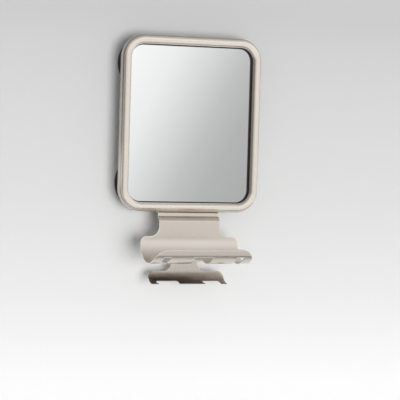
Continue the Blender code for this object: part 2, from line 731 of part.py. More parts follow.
def screw_profile():
    """Half section of a pan-head screw; height 0 is the face under its head."""
    return [
        (0.0, -SCREW_LENGTH),
        (SCREW_RADIUS, -SCREW_LENGTH),
        (SCREW_RADIUS, 0.0),
        (SCREW_HEAD_RADIUS, 0.0),
        (SCREW_HEAD_RADIUS, SCREW_HEAD_HEIGHT - SCREW_HEAD_DOME),
        (SCREW_HEAD_RADIUS - SCREW_HEAD_DOME, SCREW_HEAD_HEIGHT),
        (0.0, SCREW_HEAD_HEIGHT),
    ]


def make_screw(name):
    """One screw with its head up, its own axis on Z."""
    return turned(name, screw_profile(), SMALL_STEPS, zinc_steel(name))


def make_screws():
    """The plate's, the hook's and the cradle's screws, each in its hole."""
    for index, (x, z) in enumerate(plate_screw_places(), start=1):
        screw = make_screw(f"plate_screw_{index}")
        turn_to_wall_axis(screw, (x, FLANGE_BACK + GAP, z), towards_wall=True)
    for index, (x, z) in enumerate(hook_screw_places(), start=1):
        screw = make_screw(f"hook_screw_{index}")
        turn_to_wall_axis(screw, (x, hook_plane() + SHEET_THICKNESS / 2 + GAP, z), towards_wall=True)
    for index, x in enumerate(cradle_screw_places(), start=1):
        screw = make_screw(f"cradle_screw_{index}")
        under = FRAME_BOTTOM - GAP - SHEET_THICKNESS - GAP
        screw.matrix_world = Matrix.Translation((x, CRADLE_SCREW_Y, under)) @ Matrix.Rotation(math.pi, 4, "X")


def main():
    clear_scene()
    make_frame()
    make_glass()
    make_seal()
    make_foam_pads()
    make_back_plate()
    make_cups_and_studs()
    make_cradle()
    make_hook()
    make_screws()
    print("pieces:", len([item for item in bpy.data.objects if not item.hide_render]))


main()
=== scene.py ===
# %% [markdown]
# A shower mirror hangs on four suction cups, with a bent sheet cradle and a hook below it. This notebook
# dresses the finished construction: every visible piece gets a fine surface and a finish. New pieces are worked
# out in metres in the construction's own frame, so each lies where its plain solid lies, and nothing has to be
# fitted afterwards.
# %% Load the construction
import math

import bmesh
import bpy
import numpy as np
from mathutils import Matrix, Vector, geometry


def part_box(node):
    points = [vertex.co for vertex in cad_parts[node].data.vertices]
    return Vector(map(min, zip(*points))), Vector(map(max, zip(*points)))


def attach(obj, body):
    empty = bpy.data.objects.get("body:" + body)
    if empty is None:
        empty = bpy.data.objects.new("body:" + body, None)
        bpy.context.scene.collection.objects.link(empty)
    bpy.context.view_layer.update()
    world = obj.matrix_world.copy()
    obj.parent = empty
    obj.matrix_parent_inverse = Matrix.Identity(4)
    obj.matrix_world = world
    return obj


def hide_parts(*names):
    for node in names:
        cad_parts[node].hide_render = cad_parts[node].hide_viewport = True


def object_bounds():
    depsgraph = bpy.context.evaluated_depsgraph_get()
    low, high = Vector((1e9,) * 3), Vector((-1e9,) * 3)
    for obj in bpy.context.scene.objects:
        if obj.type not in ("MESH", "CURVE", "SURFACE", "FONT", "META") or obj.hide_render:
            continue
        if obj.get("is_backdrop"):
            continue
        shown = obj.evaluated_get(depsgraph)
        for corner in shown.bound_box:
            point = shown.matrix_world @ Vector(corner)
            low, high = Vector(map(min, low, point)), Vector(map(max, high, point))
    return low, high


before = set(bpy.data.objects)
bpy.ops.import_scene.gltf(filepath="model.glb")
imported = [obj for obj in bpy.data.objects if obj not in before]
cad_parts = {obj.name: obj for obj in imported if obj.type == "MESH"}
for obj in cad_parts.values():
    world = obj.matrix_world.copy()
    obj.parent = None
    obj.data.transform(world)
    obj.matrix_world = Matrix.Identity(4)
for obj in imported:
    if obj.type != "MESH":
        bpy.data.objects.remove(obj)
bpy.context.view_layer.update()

# %% [markdown]
# Sizes come first. Some are read from the construction's own boxes, so they can't drift away from it. The rest
# are what its maker would have on the drawing: wall thicknesses, radii and clearances.
# %% Sizes of the frame, the glass and the seal
GAP = 0.0003
CORNER_RADIUS = 0.0285
ROUND_RADIUS = 0.0051
RIM_STEP = 0.0009
RIM_DEPTH = 0.0086
RIM_EDGE = 0.0008
FRAME_WALL = 0.0018
FRAME_LEDGE = 0.0024
BACK_EDGE = 0.0008
LEDGE_EDGE = 0.0004
SEAL_WALL = 0.0008
SEAL_SHOWS = 0.00145

frame_low, frame_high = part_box("frame")
seal_low, seal_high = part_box("glass_seal")
glass_low, glass_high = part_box("mirror_glass")
HALF_WIDTH = (frame_high.x - frame_low.x) / 2
HALF_HEIGHT = (frame_high.z - frame_low.z) / 2
FRAME_BACK, FRAME_FRONT = frame_high.y, frame_low.y
RIM_FRONT = FRAME_BACK - RIM_DEPTH
ROUND_IN = RIM_STEP + ROUND_RADIUS
BAR_WIDTH = RIM_STEP + 2 * ROUND_RADIUS
LEDGE_Y = seal_low.y - GAP
LEDGE_IN = BAR_WIDTH - FRAME_LEDGE
CHANNEL_IN = LEDGE_IN - FRAME_WALL
SEAL_OUT = LEDGE_IN + GAP
SEAL_IN = BAR_WIDTH + SEAL_SHOWS
SEAL_SIDE = SEAL_OUT + SEAL_WALL
GLASS_OUT = SEAL_SIDE + GAP
print("frame depth in mm:", round(1000 * (FRAME_BACK - FRAME_FRONT), 2))

# %% [markdown]
# A surface here is a grid of points worked out by numpy, and the grid becomes a mesh of four-sided faces in one
# step. Faces could be added one at a time, but that is slower to run and hides the formula that makes the
# shape.
# %% Mesh helpers
SHARP_DEGREES = 35.0


def put_in_scene(name, data):
    """A new object of the scene, for a mesh, a lamp or a camera."""
    thing = bpy.data.objects.new(name, data)
    bpy.context.scene.collection.objects.link(thing)
    return thing


def finish_mesh(name, mesh, sharp_degrees=SHARP_DEGREES):
    """Show a mesh as a smooth piece with its faces pointing out and its hard edges kept."""
    shell = bmesh.new()
    shell.from_mesh(mesh)
    bmesh.ops.recalc_face_normals(shell, faces=shell.faces)
    shell.to_mesh(mesh)
    shell.free()
    mesh.shade_smooth()
    mesh.set_sharp_from_angle(angle=math.radians(sharp_degrees))
    return put_in_scene(name, mesh)


def grid_piece(name, points, closed=False, along=None, sharp_degrees=SHARP_DEGREES):
    """A piece from a grid of points whose rows go all round; its columns do so too, or end in two flat caps.

    along gives each point of a closed grid two lengths in metres, with one more row and column for the full
    lengths. They become the map that a grain follows.
    """
    rows, columns, _ = points.shape
    row, column = np.arange(rows)[:, None], np.arange(columns if closed else columns - 1)
    next_row, next_column = (row + 1) % rows, (column + 1) % columns
    corners = ((row, column), (row, next_column), (next_row, next_column), (next_row, column))
    faces = np.stack([y * columns + x for y, x in corners], -1).reshape(-1, 4).tolist()
    if not closed:
        faces += [(row[:, 0] * columns + end).tolist() for end in (0, columns - 1)]
    mesh = bpy.data.meshes.new(name)
    mesh.from_pydata(points.reshape(-1, 3).tolist(), [], faces)
    if along is not None:
        corner = np.empty(len(mesh.loops), np.int32)
        mesh.loops.foreach_get("vertex_index", corner)
        full_length = along[-1, -1]
        lengths = along[:-1, :-1].reshape(-1, 2)[corner].reshape(-1, 4, 2)
        closes = lengths.max(1, keepdims=True) - lengths > full_length / 2
        layer = mesh.uv_layers.new(name="along")
        layer.data.foreach_set("uv", (lengths + closes * full_length).astype(np.float32).ravel())
    return finish_mesh(name, mesh, sharp_degrees)


def arc(centre, radius, start_degrees, end_degrees, steps):
    """Points of an arc: centre plus radius times (cos, sin) of evenly spaced angles, ends included."""
    angle = np.radians(np.linspace(start_degrees, end_degrees, steps + 1))
    return np.stack([centre[0] + radius * np.cos(angle), centre[1] + radius * np.sin(angle)], -1)


def put_on(piece, material, body, slot, *nodes):
    """Give a piece its finish and its body, and hide the plain solids that it stands for; slot is not used."""
    piece.data.materials.append(material)
    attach(piece, body)
    if nodes:
        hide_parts(*nodes)


print("a quarter circle in two steps:", arc((0.0, 0.0), 1.0, 0.0, 90.0, 2).round(2).tolist())

# %% [markdown]
# A finish is a tree of shader nodes. Two helpers keep the trees short: new_node makes a node with its settings,
# and plug fills its inputs, each with a plain value or with another node's output. Steps that come back again
# and again, such as mixing two colours, get a helper of their own.
# %% Node helpers


def plug(tree, node, inputs):
    """Fill a node's inputs, by name or number, with values or with the outputs of other nodes."""
    for key, value in inputs.items():
        if isinstance(value, bpy.types.NodeSocket):
            tree.links.new(value, node.inputs[key])
        else:
            node.inputs[key].default_value = value
    return node


def new_node(tree, kind, inputs=None, **settings):
    """A shader node; its settings come first, because they decide which inputs it has."""
    node = tree.nodes.new(f"ShaderNode{kind}")
    for label, value in settings.items():
        setattr(node, label, value)
    return plug(tree, node, inputs or {})


def math_of(tree, operation, first, second, third=0.5, clamp=False):
    """One math step on two values, or on three for those that take three."""
    step = new_node(tree, "Math", {0: first, 1: second, 2: third}, operation=operation, use_clamp=clamp)
    return step.outputs["Value"]


def product_of(tree, first, second):
    """Two colours multiplied, channel by channel."""
    return new_node(tree, "VectorMath", {0: first, 1: second}, operation="MULTIPLY").outputs["Vector"]


def mix_of(tree, factor, first, second):
    """The first colour, with the second over it as far as the factor goes."""
    return new_node(tree, "Mix", {"Factor": factor, "A": first, "B": second}, data_type="RGBA").outputs["Result"]


def shader_mix(tree, factor, first, second):
    """The first shader, with the second over it as far as the factor goes."""
    return new_node(tree, "MixShader", {"Fac": factor, 1: first, 2: second}).outputs["Shader"]


def noise_of(tree, vector, scale, detail=2.0):
    """Smooth noise between 0 and 1."""
    return new_node(tree, "TexNoise", {"Vector": vector, "Scale": scale, "Detail": detail}).outputs["Fac"]


def range_of(tree, value, **ends):
    """A value carried from one range to another, each of which is from 0 to 1 unless its ends are given."""
    inputs = {label.replace("_", " ").title(): end for label, end in ends.items()}
    return new_node(tree, "MapRange", {"Value": value, **inputs}).outputs["Result"]


def parts_of(tree, vector):
    """The X, Y and Z of a vector, by name."""
    return new_node(tree, "SeparateXYZ", {"Vector": vector}).outputs


def level_ramp(tree, source, stops):
    """A grey level looked up from a value, through (value, level) stops."""
    low, high = stops[0][0], stops[-1][0]
    ramp = new_node(tree, "ValToRGB", {"Fac": range_of(tree, source, from_min=low, from_max=high)})
    for index, (value, level) in enumerate(stops):
        share = (value - low) / (high - low)
        stop = ramp.color_ramp.elements[index] if index < 2 else ramp.color_ramp.elements.new(share)
        stop.position = share
        stop.color = (level, level, level, 1.0)
    return ramp.outputs["Color"]


print("node helpers:", plug.__name__, new_node.__name__, level_ramp.__name__)

# %% [markdown]
# Finishes share a few effects, and each is a node group that is built once. Fine grain is the tiny streaks or
# pores of a finish. Cloudy tone is the slow drift of a colour that makes a surface look made and handled.
# Rubbed edges is where hands and cloths reach first. The groups put out only numbers and colours; the shader
# stays in each material.
# %% Shared effects
ORIGIN = (0.0, 0.0, 0.0)
GRAIN_DETAIL = 3.0
BROKEN_SCALE = 260.0


def new_group(name, output, kind, **inputs):
    """An empty group, what it is given and its end; one number makes a Float input, 3 a Vector, 4 a Color."""
    group = bpy.data.node_groups.new(name, "ShaderNodeTree")
    for label, value in inputs.items():
        input_kind = {3: "Vector", 4: "Color"}.get(np.size(value), "Float")
        socket = group.interface.new_socket(name=label, in_out="INPUT", socket_type=f"NodeSocket{input_kind}")
        socket.default_value = value
    group.interface.new_socket(name=output, in_out="OUTPUT", socket_type=f"NodeSocket{kind}")
    return group, group.nodes.new("NodeGroupInput").outputs, group.nodes.new("NodeGroupOutput")


def make_grain_group():
    """Noise on a stretched vector, spread to the full range from 0 to 1."""
    group, given, result = new_group("Fine grain", "Value", "Float", Vector=ORIGIN, Stretch=(1.0, 1.0, 1.0))
    noise = noise_of(group, product_of(group, given["Vector"], given["Stretch"]), 1.0, GRAIN_DETAIL)
    plug(group, result, {"Value": range_of(group, noise, from_min=0.3, from_max=0.7)})
    return group


def make_tone_group():
    """A base colour that drifts slowly: the colour times 1 + depth * (noise - 0.5)."""
    group, given, result = new_group(
        "Cloudy tone", "Color", "Color", Vector=ORIGIN, Color=(0.5, 0.5, 0.5, 1.0), Scale=12.0, Depth=0.06)
    centred = math_of(group, "SUBTRACT", noise_of(group, given["Vector"], given["Scale"]), 0.5)
    drift = math_of(group, "MULTIPLY_ADD", centred, given["Depth"], 1.0)
    tinted = new_node(group, "VectorMath", {0: given["Color"], "Scale": drift}, operation="SCALE")
    plug(group, result, {"Color": tinted.outputs["Vector"]})
    return group


def make_edge_group():
    """A mask that is strongest on a cut edge and fades to 0 over a given distance, broken up by noise."""
    group, given, result = new_group("Rubbed edges", "Mask", "Float", Distance=1.0, Reach=0.001, Vector=ORIGIN)
    fade = math_of(group, "SUBTRACT", 1.0, math_of(group, "DIVIDE", given["Distance"], given["Reach"]), clamp=True)
    broken = math_of(group, "MULTIPLY", fade, noise_of(group, given["Vector"], BROKEN_SCALE))
    plug(group, result, {"Mask": broken})
    return group


GRAIN = make_grain_group()
TONE = make_tone_group()
EDGES = make_edge_group()
print("shared effects:", GRAIN.name, TONE.name, EDGES.name)

# %% [markdown]
# A material is then short. It reads where a point is, asks the groups for grain and tone, and feeds the shader:
# base colour from the tone, roughness that the grain moves a little, and a very shallow bump. The frame's grain
# follows its map instead, which runs along the bar.
# %% A base for every finish


def new_material(name):
    """A node material; returns it with its tree and its Principled shader."""
    material = bpy.data.materials.new(name)
    material.use_nodes = True
    return material, material.node_tree, material.node_tree.nodes["Principled BSDF"]


def base_material(name, color, roughness, grain, depth=0.06, cloud=12.0, bump=0.15, bump_height=0.00002,
                  spread=0.08, metal=0.0, on_map=False):
    """A material with a cloudy colour, grainy roughness and a fine bump.

    It comes with its tree, its shader, its base colour and the two vectors that it reads.
    """
    material, tree, shader = new_material(name)
    place = new_node(tree, "TexCoord").outputs["Object"]
    walked = new_node(tree, "UVMap", uv_map="along").outputs["UV"] if on_map else place
    tone = {"Vector": place, "Color": (*color, 1.0), "Scale": cloud, "Depth": depth}
    base_color = new_node(tree, "Group", tone, node_tree=TONE).outputs["Color"]
    fine = new_node(tree, "Group", {"Vector": walked, "Stretch": grain}, node_tree=GRAIN).outputs["Value"]
    rough = range_of(tree, fine, to_min=roughness - spread / 2, to_max=roughness + spread / 2)
    plug(tree, shader, {"Base Color": base_color, "Roughness": rough, "Metallic": metal})
    if bump:
        height = new_node(tree, "Bump", {"Height": fine, "Strength": bump, "Distance": bump_height})
        plug(tree, shader, {"Normal": height.outputs["Normal"]})
    return material, tree, shader, base_color, place, walked


print("finish helpers:", new_material.__name__, base_material.__name__)

# %% [markdown]
# Satin nickel is metal plated over a fine blasted surface, warm and soft in its reflections. It could be
# painted as a beige colour, but only a metal takes its light and dark bands from the room, as the round bars
# do. Shade is painted into the groove and onto the bar's inner side, where the metal turns dark and brown.
# How far that painted shade goes is read from the map, whose second length runs round the section from the
# back edge over the rim and the bar, and from the place: the groove's painted shade is lighter low down, and
# the inner side is shaded only at the right.
# %% Satin nickel for the round frame
NICKEL = (0.84, 0.78, 0.70)
# The dark brown that painted shade mixes into the nickel, on the frame and on the hook.
PAINTED_SHADE_BROWN = (0.19, 0.15, 0.125, 1.0)
FRAME_GRAIN = (900.0, 2600.0, 1.0)
# Painted shade round the section: in the groove by height, and on the inner side towards the right.
GROOVE_PAINTED_SHADE = (
    (0.0, 0.38), (0.0075, 0.42), (0.0092, 0.65), (0.0099, 1.0), (0.0112, 1.0), (0.0124, 0.72), (0.0140, 0.18),
    (0.0160, 0.0),
)
GROOVE_SHADE_AT_HEIGHT = (
    (-0.110, 0.45), (-0.097, 0.65), (-0.086, 0.65), (-0.073, 0.25), (-0.055, 0.30), (-0.020, 0.80), (0.020, 0.88),
    (0.070, 1.0),
)
INNER_PAINTED_SHADE = ((0.0220, 0.0), (0.0240, 0.45), (0.0255, 0.80), (0.0265, 0.90))
INNER_SHADE_ACROSS = ((0.050, 0.10), (0.066, 0.45), (0.080, 1.0))


def frame_nickel():
    """Nickel plate whose fine grain runs along the bar, with painted shade in the groove and on the inner side."""
    material, tree, shader, tone, place, walked = base_material(
        "satin_nickel_frame", NICKEL, 0.25, FRAME_GRAIN, depth=0.05, cloud=9.0, metal=1.0, on_map=True)
    round_section, sides = parts_of(tree, walked)["Y"], parts_of(tree, place)
    painted_shade = [
        math_of(tree, "MULTIPLY", level_ramp(tree, round_section, levels), level_ramp(tree, sides[side], shares))
        for levels, side, shares in ((GROOVE_PAINTED_SHADE, "Z", GROOVE_SHADE_AT_HEIGHT), (INNER_PAINTED_SHADE, "X", INNER_SHADE_ACROSS))
    ]
    # Painted shade mixes the nickel towards dark brown.
    plug(tree, shader, {"Base Color": mix_of(tree, math_of(tree, "MAXIMUM", *painted_shade), tone, PAINTED_SHADE_BROWN)})
    return material


FRAME_FINISH = frame_nickel()
print("nodes in the frame's finish:", len(FRAME_FINISH.node_tree.nodes))

# %% [markdown]
# The cradle and the hook are bent from sheet. Their plating shows the rolling direction as faint streaks across
# the width, and the cut edges are rubbed lighter. Each sheet carries the distance to its nearest cut edge as an
# attribute, and the material lightens the metal where it is small. A second attribute is the length walked
# along the bend: the hook's curl gets painted shade, browner and darker than its flat strap, which the material
# mixes in along this length.
# %% Satin nickel for the bent sheets
SHEET_NICKEL = (0.72, 0.66, 0.595)
RUBBED_NICKEL = (0.90, 0.87, 0.83, 1.0)
SHEET_GRAIN = (260.0, 2600.0, 2600.0)
EDGE_REACH = 0.0012


def sheet_nickel(name, painted_shade_levels=None):
    """Nickel plate with streaks across the sheet, lighter cut edges and, along the bend, painted shade."""
    material, tree, shader, color, place, _ = base_material(
        name, SHEET_NICKEL, 0.31, SHEET_GRAIN, cloud=14.0, bump=0.18, metal=1.0)
    distance = new_node(tree, "Attribute", attribute_name="edge_distance").outputs["Fac"]
    near_edge = {"Distance": distance, "Reach": EDGE_REACH, "Vector": place}
    mask = new_node(tree, "Group", near_edge, node_tree=EDGES).outputs["Mask"]
    color = mix_of(tree, mask, color, RUBBED_NICKEL)
    # Painted shade, mixed in along the bend where the hook curls.
    if painted_shade_levels:
        bend_length = new_node(tree, "Attribute", attribute_name="bend_length").outputs["Fac"]
        color = mix_of(tree, level_ramp(tree, bend_length, painted_shade_levels), color, PAINTED_SHADE_BROWN)
    plug(tree, shader, {"Base Color": color})
    return material


print("edges are rubbed over mm:", 1000 * EDGE_REACH)

# %% [markdown]
# The frame is one channel: a round bar in front of a slightly wider rim, with a ledge inside that the seal
# rests on, and open behind. It could be made with a bevelled curve. Here it is one formula instead. Walk round
# the outline: each place has a corner centre C and an outward direction D. A point that lies a distance d
# inward from the outer edge is C + (R - d) * D, where R is the corner radius. So the whole frame is a grid of
# that walk and the section.
# %% Frame outline
CORNER_STEPS = 28
STRAIGHT_STEPS = 14


def length_round(points):
    """The length walked round a closed line of points, from 0 to the full length."""
    step = np.linalg.norm(np.diff(points, axis=0, append=points[:1]), axis=1)
    return np.concatenate([[0.0], np.cumsum(step)])


def outline_walk():
    """Corner centres, outward directions and walked lengths round the frame, anticlockwise from the right."""
    signs = np.array([(1, 1), (-1, 1), (-1, -1), (1, -1)], float)
    inner = np.array([HALF_WIDTH - CORNER_RADIUS, HALF_HEIGHT - CORNER_RADIUS])
    centres, directions = [], []
    for quarter in range(4):
        angle = np.radians(90.0) * (quarter + np.linspace(0, 1, CORNER_STEPS + 1))
        here, after = signs[quarter] * inner, signs[(quarter + 1) % 4] * inner
        turn = np.stack([np.cos(angle), np.sin(angle)], -1)
        share = np.linspace(0, 1, STRAIGHT_STEPS + 1)[1:-1, None]
        centres += [np.repeat(here[None], len(turn), 0), here + (after - here) * share]
        directions += [turn, np.repeat(turn[-1:], len(share), 0)]
    centre, direction = np.concatenate(centres), np.concatenate(directions)
    return centre, direction, length_round(centre + CORNER_RADIUS * direction)


WALK_CENTRE, WALK_DIRECTION, WALK_LENGTH = outline_walk()


def rim_points(section):
    """C + (R - inward) * D across the outline and the section's depth along Y, as a grid."""
    inward, depth = section[:, 0], section[:, 1]
    flat = WALK_CENTRE[:, None] + (CORNER_RADIUS - inward)[None, :, None] * WALK_DIRECTION[:, None]
    return np.stack([flat[..., 0], np.broadcast_to(depth, flat.shape[:2]), flat[..., 1]], -1)


def rim_piece(name, section):
    """Carry a closed section round the outline."""
    along = np.stack(np.meshgrid(WALK_LENGTH, length_round(section), indexing="ij"), -1)
    return grid_piece(name, rim_points(section), True, along)


print("outline points:", len(WALK_CENTRE), "perimeter in mm:", round(1000 * WALK_LENGTH[-1]))

# %% [markdown]
# The section is a closed line of (inward, depth) points. It runs up the rim, into the fine groove behind the
# round bar, round the bar and over the ledge, and comes back through the hollow at an even wall. The groove, with
# painted shade in the finish, draws the thin dark line round the frame. The rim's edges and the ledge have small
# rounds.
# %% Frame section and mesh
THROAT_EASE = 0.0003
THROAT_IN = RIM_STEP + FRAME_WALL + THROAT_EASE
THROAT_START = 0.0026
THROAT_END = 0.0010
round_centre = (ROUND_IN, FRAME_FRONT + ROUND_RADIUS)
inner_radius = ROUND_RADIUS - FRAME_WALL
groove = math.degrees(math.asin((RIM_FRONT - round_centre[1]) / ROUND_RADIUS))
enter = math.degrees(math.acos((CHANNEL_IN - ROUND_IN) / inner_radius))
leave = math.degrees(math.acos((ROUND_IN - THROAT_IN) / inner_radius))
frame_section = np.concatenate([
    arc((BACK_EDGE, FRAME_BACK - BACK_EDGE), BACK_EDGE, 90.0, 180.0, 5),
    arc((RIM_EDGE, RIM_FRONT + RIM_EDGE), RIM_EDGE, 180.0, 270.0, 5),
    arc(round_centre, ROUND_RADIUS, 180.0 - groove, 360.0, 52),
    arc((BAR_WIDTH - LEDGE_EDGE, LEDGE_Y - LEDGE_EDGE), LEDGE_EDGE, 0.0, 90.0, 4),
    [(LEDGE_IN, LEDGE_Y), (LEDGE_IN, FRAME_BACK), (CHANNEL_IN, FRAME_BACK)],
    arc(round_centre, inner_radius, enter, -180.0 - leave, 28),
    [(THROAT_IN, RIM_FRONT + THROAT_END), (FRAME_WALL, RIM_FRONT + THROAT_START), (FRAME_WALL, FRAME_BACK)],
])
frame_piece = rim_piece("frame_channel", frame_section)
put_on(frame_piece, FRAME_FINISH, "mirror", "frame_nickel", "frame")
print("frame points:", len(frame_piece.data.vertices))

# %% [markdown]
# Many pieces are turned: a line of (radius, height) points goes round an axis. A screw modifier could do that,
# but numpy gives the whole grid at once, and the same helper serves cups, studs, bosses and screws.
# %% Turned shapes
AXES = {
    "to_wall": np.array([[1, 0, 0], [0, 0, 1], [0, 1, 0]], float),
    "from_wall": np.array([[1, 0, 0], [0, 0, 1], [0, -1, 0]], float),
    "down": np.array([[1, 0, 0], [0, 1, 0], [0, 0, -1]], float),
}


def turned(radius, height, steps):
    """(radius * cos, radius * sin, height) at evenly spaced angles; a row of the arrays may belong to each."""
    angle = np.radians(360.0) * np.arange(steps)[:, None] / steps
    return np.stack(np.broadcast_arrays(radius * np.cos(angle), radius * np.sin(angle), height), -1)


def turned_piece(name, profile, steps, place, axis, closed=False, sharp_degrees=SHARP_DEGREES):
    """Turn a profile round an axis; an open one starts and ends near the axis and is capped there."""
    points = np.asarray(place) + turned(*np.transpose(profile), steps) @ AXES[axis]
    return grid_piece(name, points, closed, sharp_degrees=sharp_degrees)


def place_of(node, y=None, z=None):
    """The middle of a plain solid's box, moved to a given y or z."""
    low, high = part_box(node)
    middle = (low + high) / 2
    return middle.x, middle.y if y is None else y, middle.z if z is None else z


print("a turned square's corners:", turned(1.0, 0.0, 4).round(3).tolist())

# %% [markdown]
# The first turned pieces are the bosses inside the channel that the screws bite into: little tubes, eight towards
# the back plate and three on the lower rail. They are hidden, but they are why the screws hold, so they are here.
# %% Bosses
BOSS_RADIUS = 0.0033
LOW_BOSS_RADIUS = 0.0031
BOSS_DEPTH = 0.0072
BOSS_STEPS = 32
SCREW_RADIUS = 0.0013
SCREW_LENGTH = 0.0072
HOLE_RADIUS = SCREW_RADIUS + GAP
REAR_SCREWS = [f"plate_screw_{n}" for n in range(1, 7)] + ["hook_screw_1", "hook_screw_2"]
LOW_SCREWS = [f"cradle_screw_{n}" for n in range(1, 4)]
RAIL_Z = frame_low.z + CHANNEL_IN
boss_nickel = base_material("cast_boss", NICKEL, 0.45, (1500.0, 1500.0, 1500.0), metal=1.0)[0]


def boss_piece(name, outer, height, place, axis):
    """A tube with the screw's hole in it: a closed line round its wall, turned."""
    profile = [(HOLE_RADIUS, 0.0), (outer, 0.0), (outer, height), (HOLE_RADIUS, height)]
    put_on(turned_piece(name, profile, BOSS_STEPS, place, axis, True), boss_nickel, "mirror", "frame_nickel")


for number, node in enumerate(REAR_SCREWS, start=1):
    boss_piece(f"boss_{number}", BOSS_RADIUS - GAP, BOSS_DEPTH, place_of(node, y=FRAME_BACK), "from_wall")
for number, node in enumerate(LOW_SCREWS, start=1):
    boss_piece(f"low_boss_{number}", LOW_BOSS_RADIUS, CHANNEL_IN - FRAME_WALL, place_of(node, z=RAIL_Z), "down")
print("bosses:", len(REAR_SCREWS + LOW_SCREWS))

# %% [markdown]
# The seal is black rubber with a U section that grips the edge of the glass. Its front lip is the thin dark
# line between the frame and the mirror, so its tip is round and stands a little proud of the glass.
# %% Glass seal
LIP_RADIUS = SEAL_WALL / 2
seal_section = np.concatenate([
    [(SEAL_OUT, seal_high.y), (SEAL_OUT, seal_low.y)],
    arc((SEAL_IN - LIP_RADIUS, seal_low.y + LIP_RADIUS), LIP_RADIUS, -90.0, 90.0, 8),
    [(SEAL_SIDE, seal_low.y + SEAL_WALL), (SEAL_SIDE, seal_high.y - SEAL_WALL)],
    arc((SEAL_IN - LIP_RADIUS, seal_high.y - LIP_RADIUS), LIP_RADIUS, -90.0, 90.0, 8),
])


def black_rubber(name, roughness=0.48, color=(0.024, 0.024, 0.026)):
    """Near-black rubber with a dusty drift in tone and a fine moulded grain."""
    return base_material(name, color, roughness, (2200.0, 2200.0, 2200.0),
                         depth=0.5, cloud=40.0, bump=0.25, spread=0.12)[0]


seal_piece = rim_piece("seal_lip", seal_section)
put_on(seal_piece, black_rubber("seal_rubber", 0.55), "mirror", "black_rubber", "glass_seal")
print("seal lip width in mm:", round(1000 * (SEAL_IN - SEAL_OUT), 2))

# %% [markdown]
# The mirror is glass with a silver layer. Light really goes through the glass and back, but at this size the
# silver is all that shows, so the plate is a smooth metal with a clear coat for the fog-proof film. A wiped
# film is never quite even: very faint clouds move its roughness. The seal hides a small ground bevel on the
# plate's edge.
# %% Mirror plate
ARRIS = 0.0004

silver, silver_tree, silver_shader = base_material(
    "mirror_silver", (0.90, 0.905, 0.905), 0.021, (26.0, 26.0, 9.0), depth=0.012, cloud=7.0, bump=0.0,
    spread=0.018, metal=1.0)[:3]
plug(silver_tree, silver_shader, {"Coat Weight": 0.2, "Coat Roughness": 0.05})
glass_section = np.array([
    (GLASS_OUT + ARRIS, glass_high.y), (GLASS_OUT, glass_high.y - ARRIS),
    (GLASS_OUT, glass_low.y + ARRIS), (GLASS_OUT + ARRIS, glass_low.y),
])
glass_piece = grid_piece("mirror_plate", rim_points(glass_section), sharp_degrees=20.0)
put_on(glass_piece, silver, "mirror", "mirror_silver", "mirror_glass")
print("mirror plate in mm:", [round(1000 * v, 1) for v in glass_piece.dimensions])

# %% [markdown]
# The cradle and the hook are the same trade: a flat blank is cut, then bent over a former. The script does the
# same. The bend is a line in the (y, z) plane, measured along its own length s. A point of the blank is (x, s),
# and the function that bends it is simply x across and the line's place at s. The blank's own outline stays
# flat and easy: straight cuts, rounded corners, slots and holes.
# %% Bend lines
BEND_STEPS = 10


def bend_line(points):
    """A dense line of (y, z) points with the length walked along it and its turning, summed in degrees."""
    apart = np.linalg.norm(np.diff(points, axis=0), axis=1) > 1e-7
    points = points[np.concatenate([[True], apart])]
    step = np.diff(points, axis=0)
    length = np.concatenate([[0.0], np.cumsum(np.linalg.norm(step, axis=1))])
    heading = np.unwrap(np.arctan2(step[:, 1], step[:, 0]))
    turning = np.cumsum(np.abs(np.diff(heading, prepend=heading[:1])))
    return {"y": points[:, 0], "z": points[:, 1], "s": length, "turn": np.degrees(np.append(turning, turning[-1]))}


def corner_arc(before, corner, after, radius, steps):
    """The arc that rounds a corner of a line, from where it leaves one side to where it joins the other."""
    sides = np.array([before - corner, after - corner])
    sides /= np.linalg.norm(sides, axis=1, keepdims=True)
    half = math.acos(np.clip(sides[0] @ sides[1], -1, 1)) / 2
    centre = corner + sides.sum(0) / np.linalg.norm(sides.sum(0)) * radius / math.sin(half)
    ends = corner + sides * radius / math.tan(half) - centre
    low, high = np.degrees(np.arctan2(ends[:, 1], ends[:, 0]))
    return arc(centre, radius, low, high + 360.0 * round((low - high) / 360.0), steps)


def rounded(corners, steps):
    """A line or an outline through (place, place, radius) corners; a radius of 0 keeps a point as it is."""
    corners = np.asarray(corners, float)
    points, radii = corners[:, :2], corners[:, 2]
    around = zip(np.roll(points, 1, axis=0), points, np.roll(points, -1, axis=0), radii)
    return np.concatenate([
        corner_arc(before, corner, after, radius, steps) if radius else corner[None]
        for before, corner, after, radius in around
    ])


print("points of a rounded square:", len(rounded([(0, 0, 0.2), (1, 0, 0.2), (1, 1, 0.2), (0, 1, 0.2)], BEND_STEPS)))

# %% [markdown]
# The cradle's line starts as a flange under the frame, turns down as the strip, steps forward, drops, runs
# round the trough in two arcs and ends in a steeper lip above a crease. The hook's line is a straight drop and
# one round curl, which ends a little past its lowest place.
# %% The cradle's and the hook's lines
SHEET = 0.0012
HALF_SHEET = SHEET / 2
STRIP_Y = -0.0255
STRIP_DROP = 0.0055
JOGGLE = 0.0060
JOGGLE_BEND = 0.0020
FLANGE_BEND = 0.0016
REAR_RADIUS = 0.0296
FRONT_RADIUS = 0.0384
FRONT_DEGREES = 45.0
CREASE_RADIUS = 0.0035
LIP_LENGTH = 0.0090
LIP_DEGREES = 59.0
HOOK_RADIUS = 0.0165
HOOK_DEGREES = 15.0

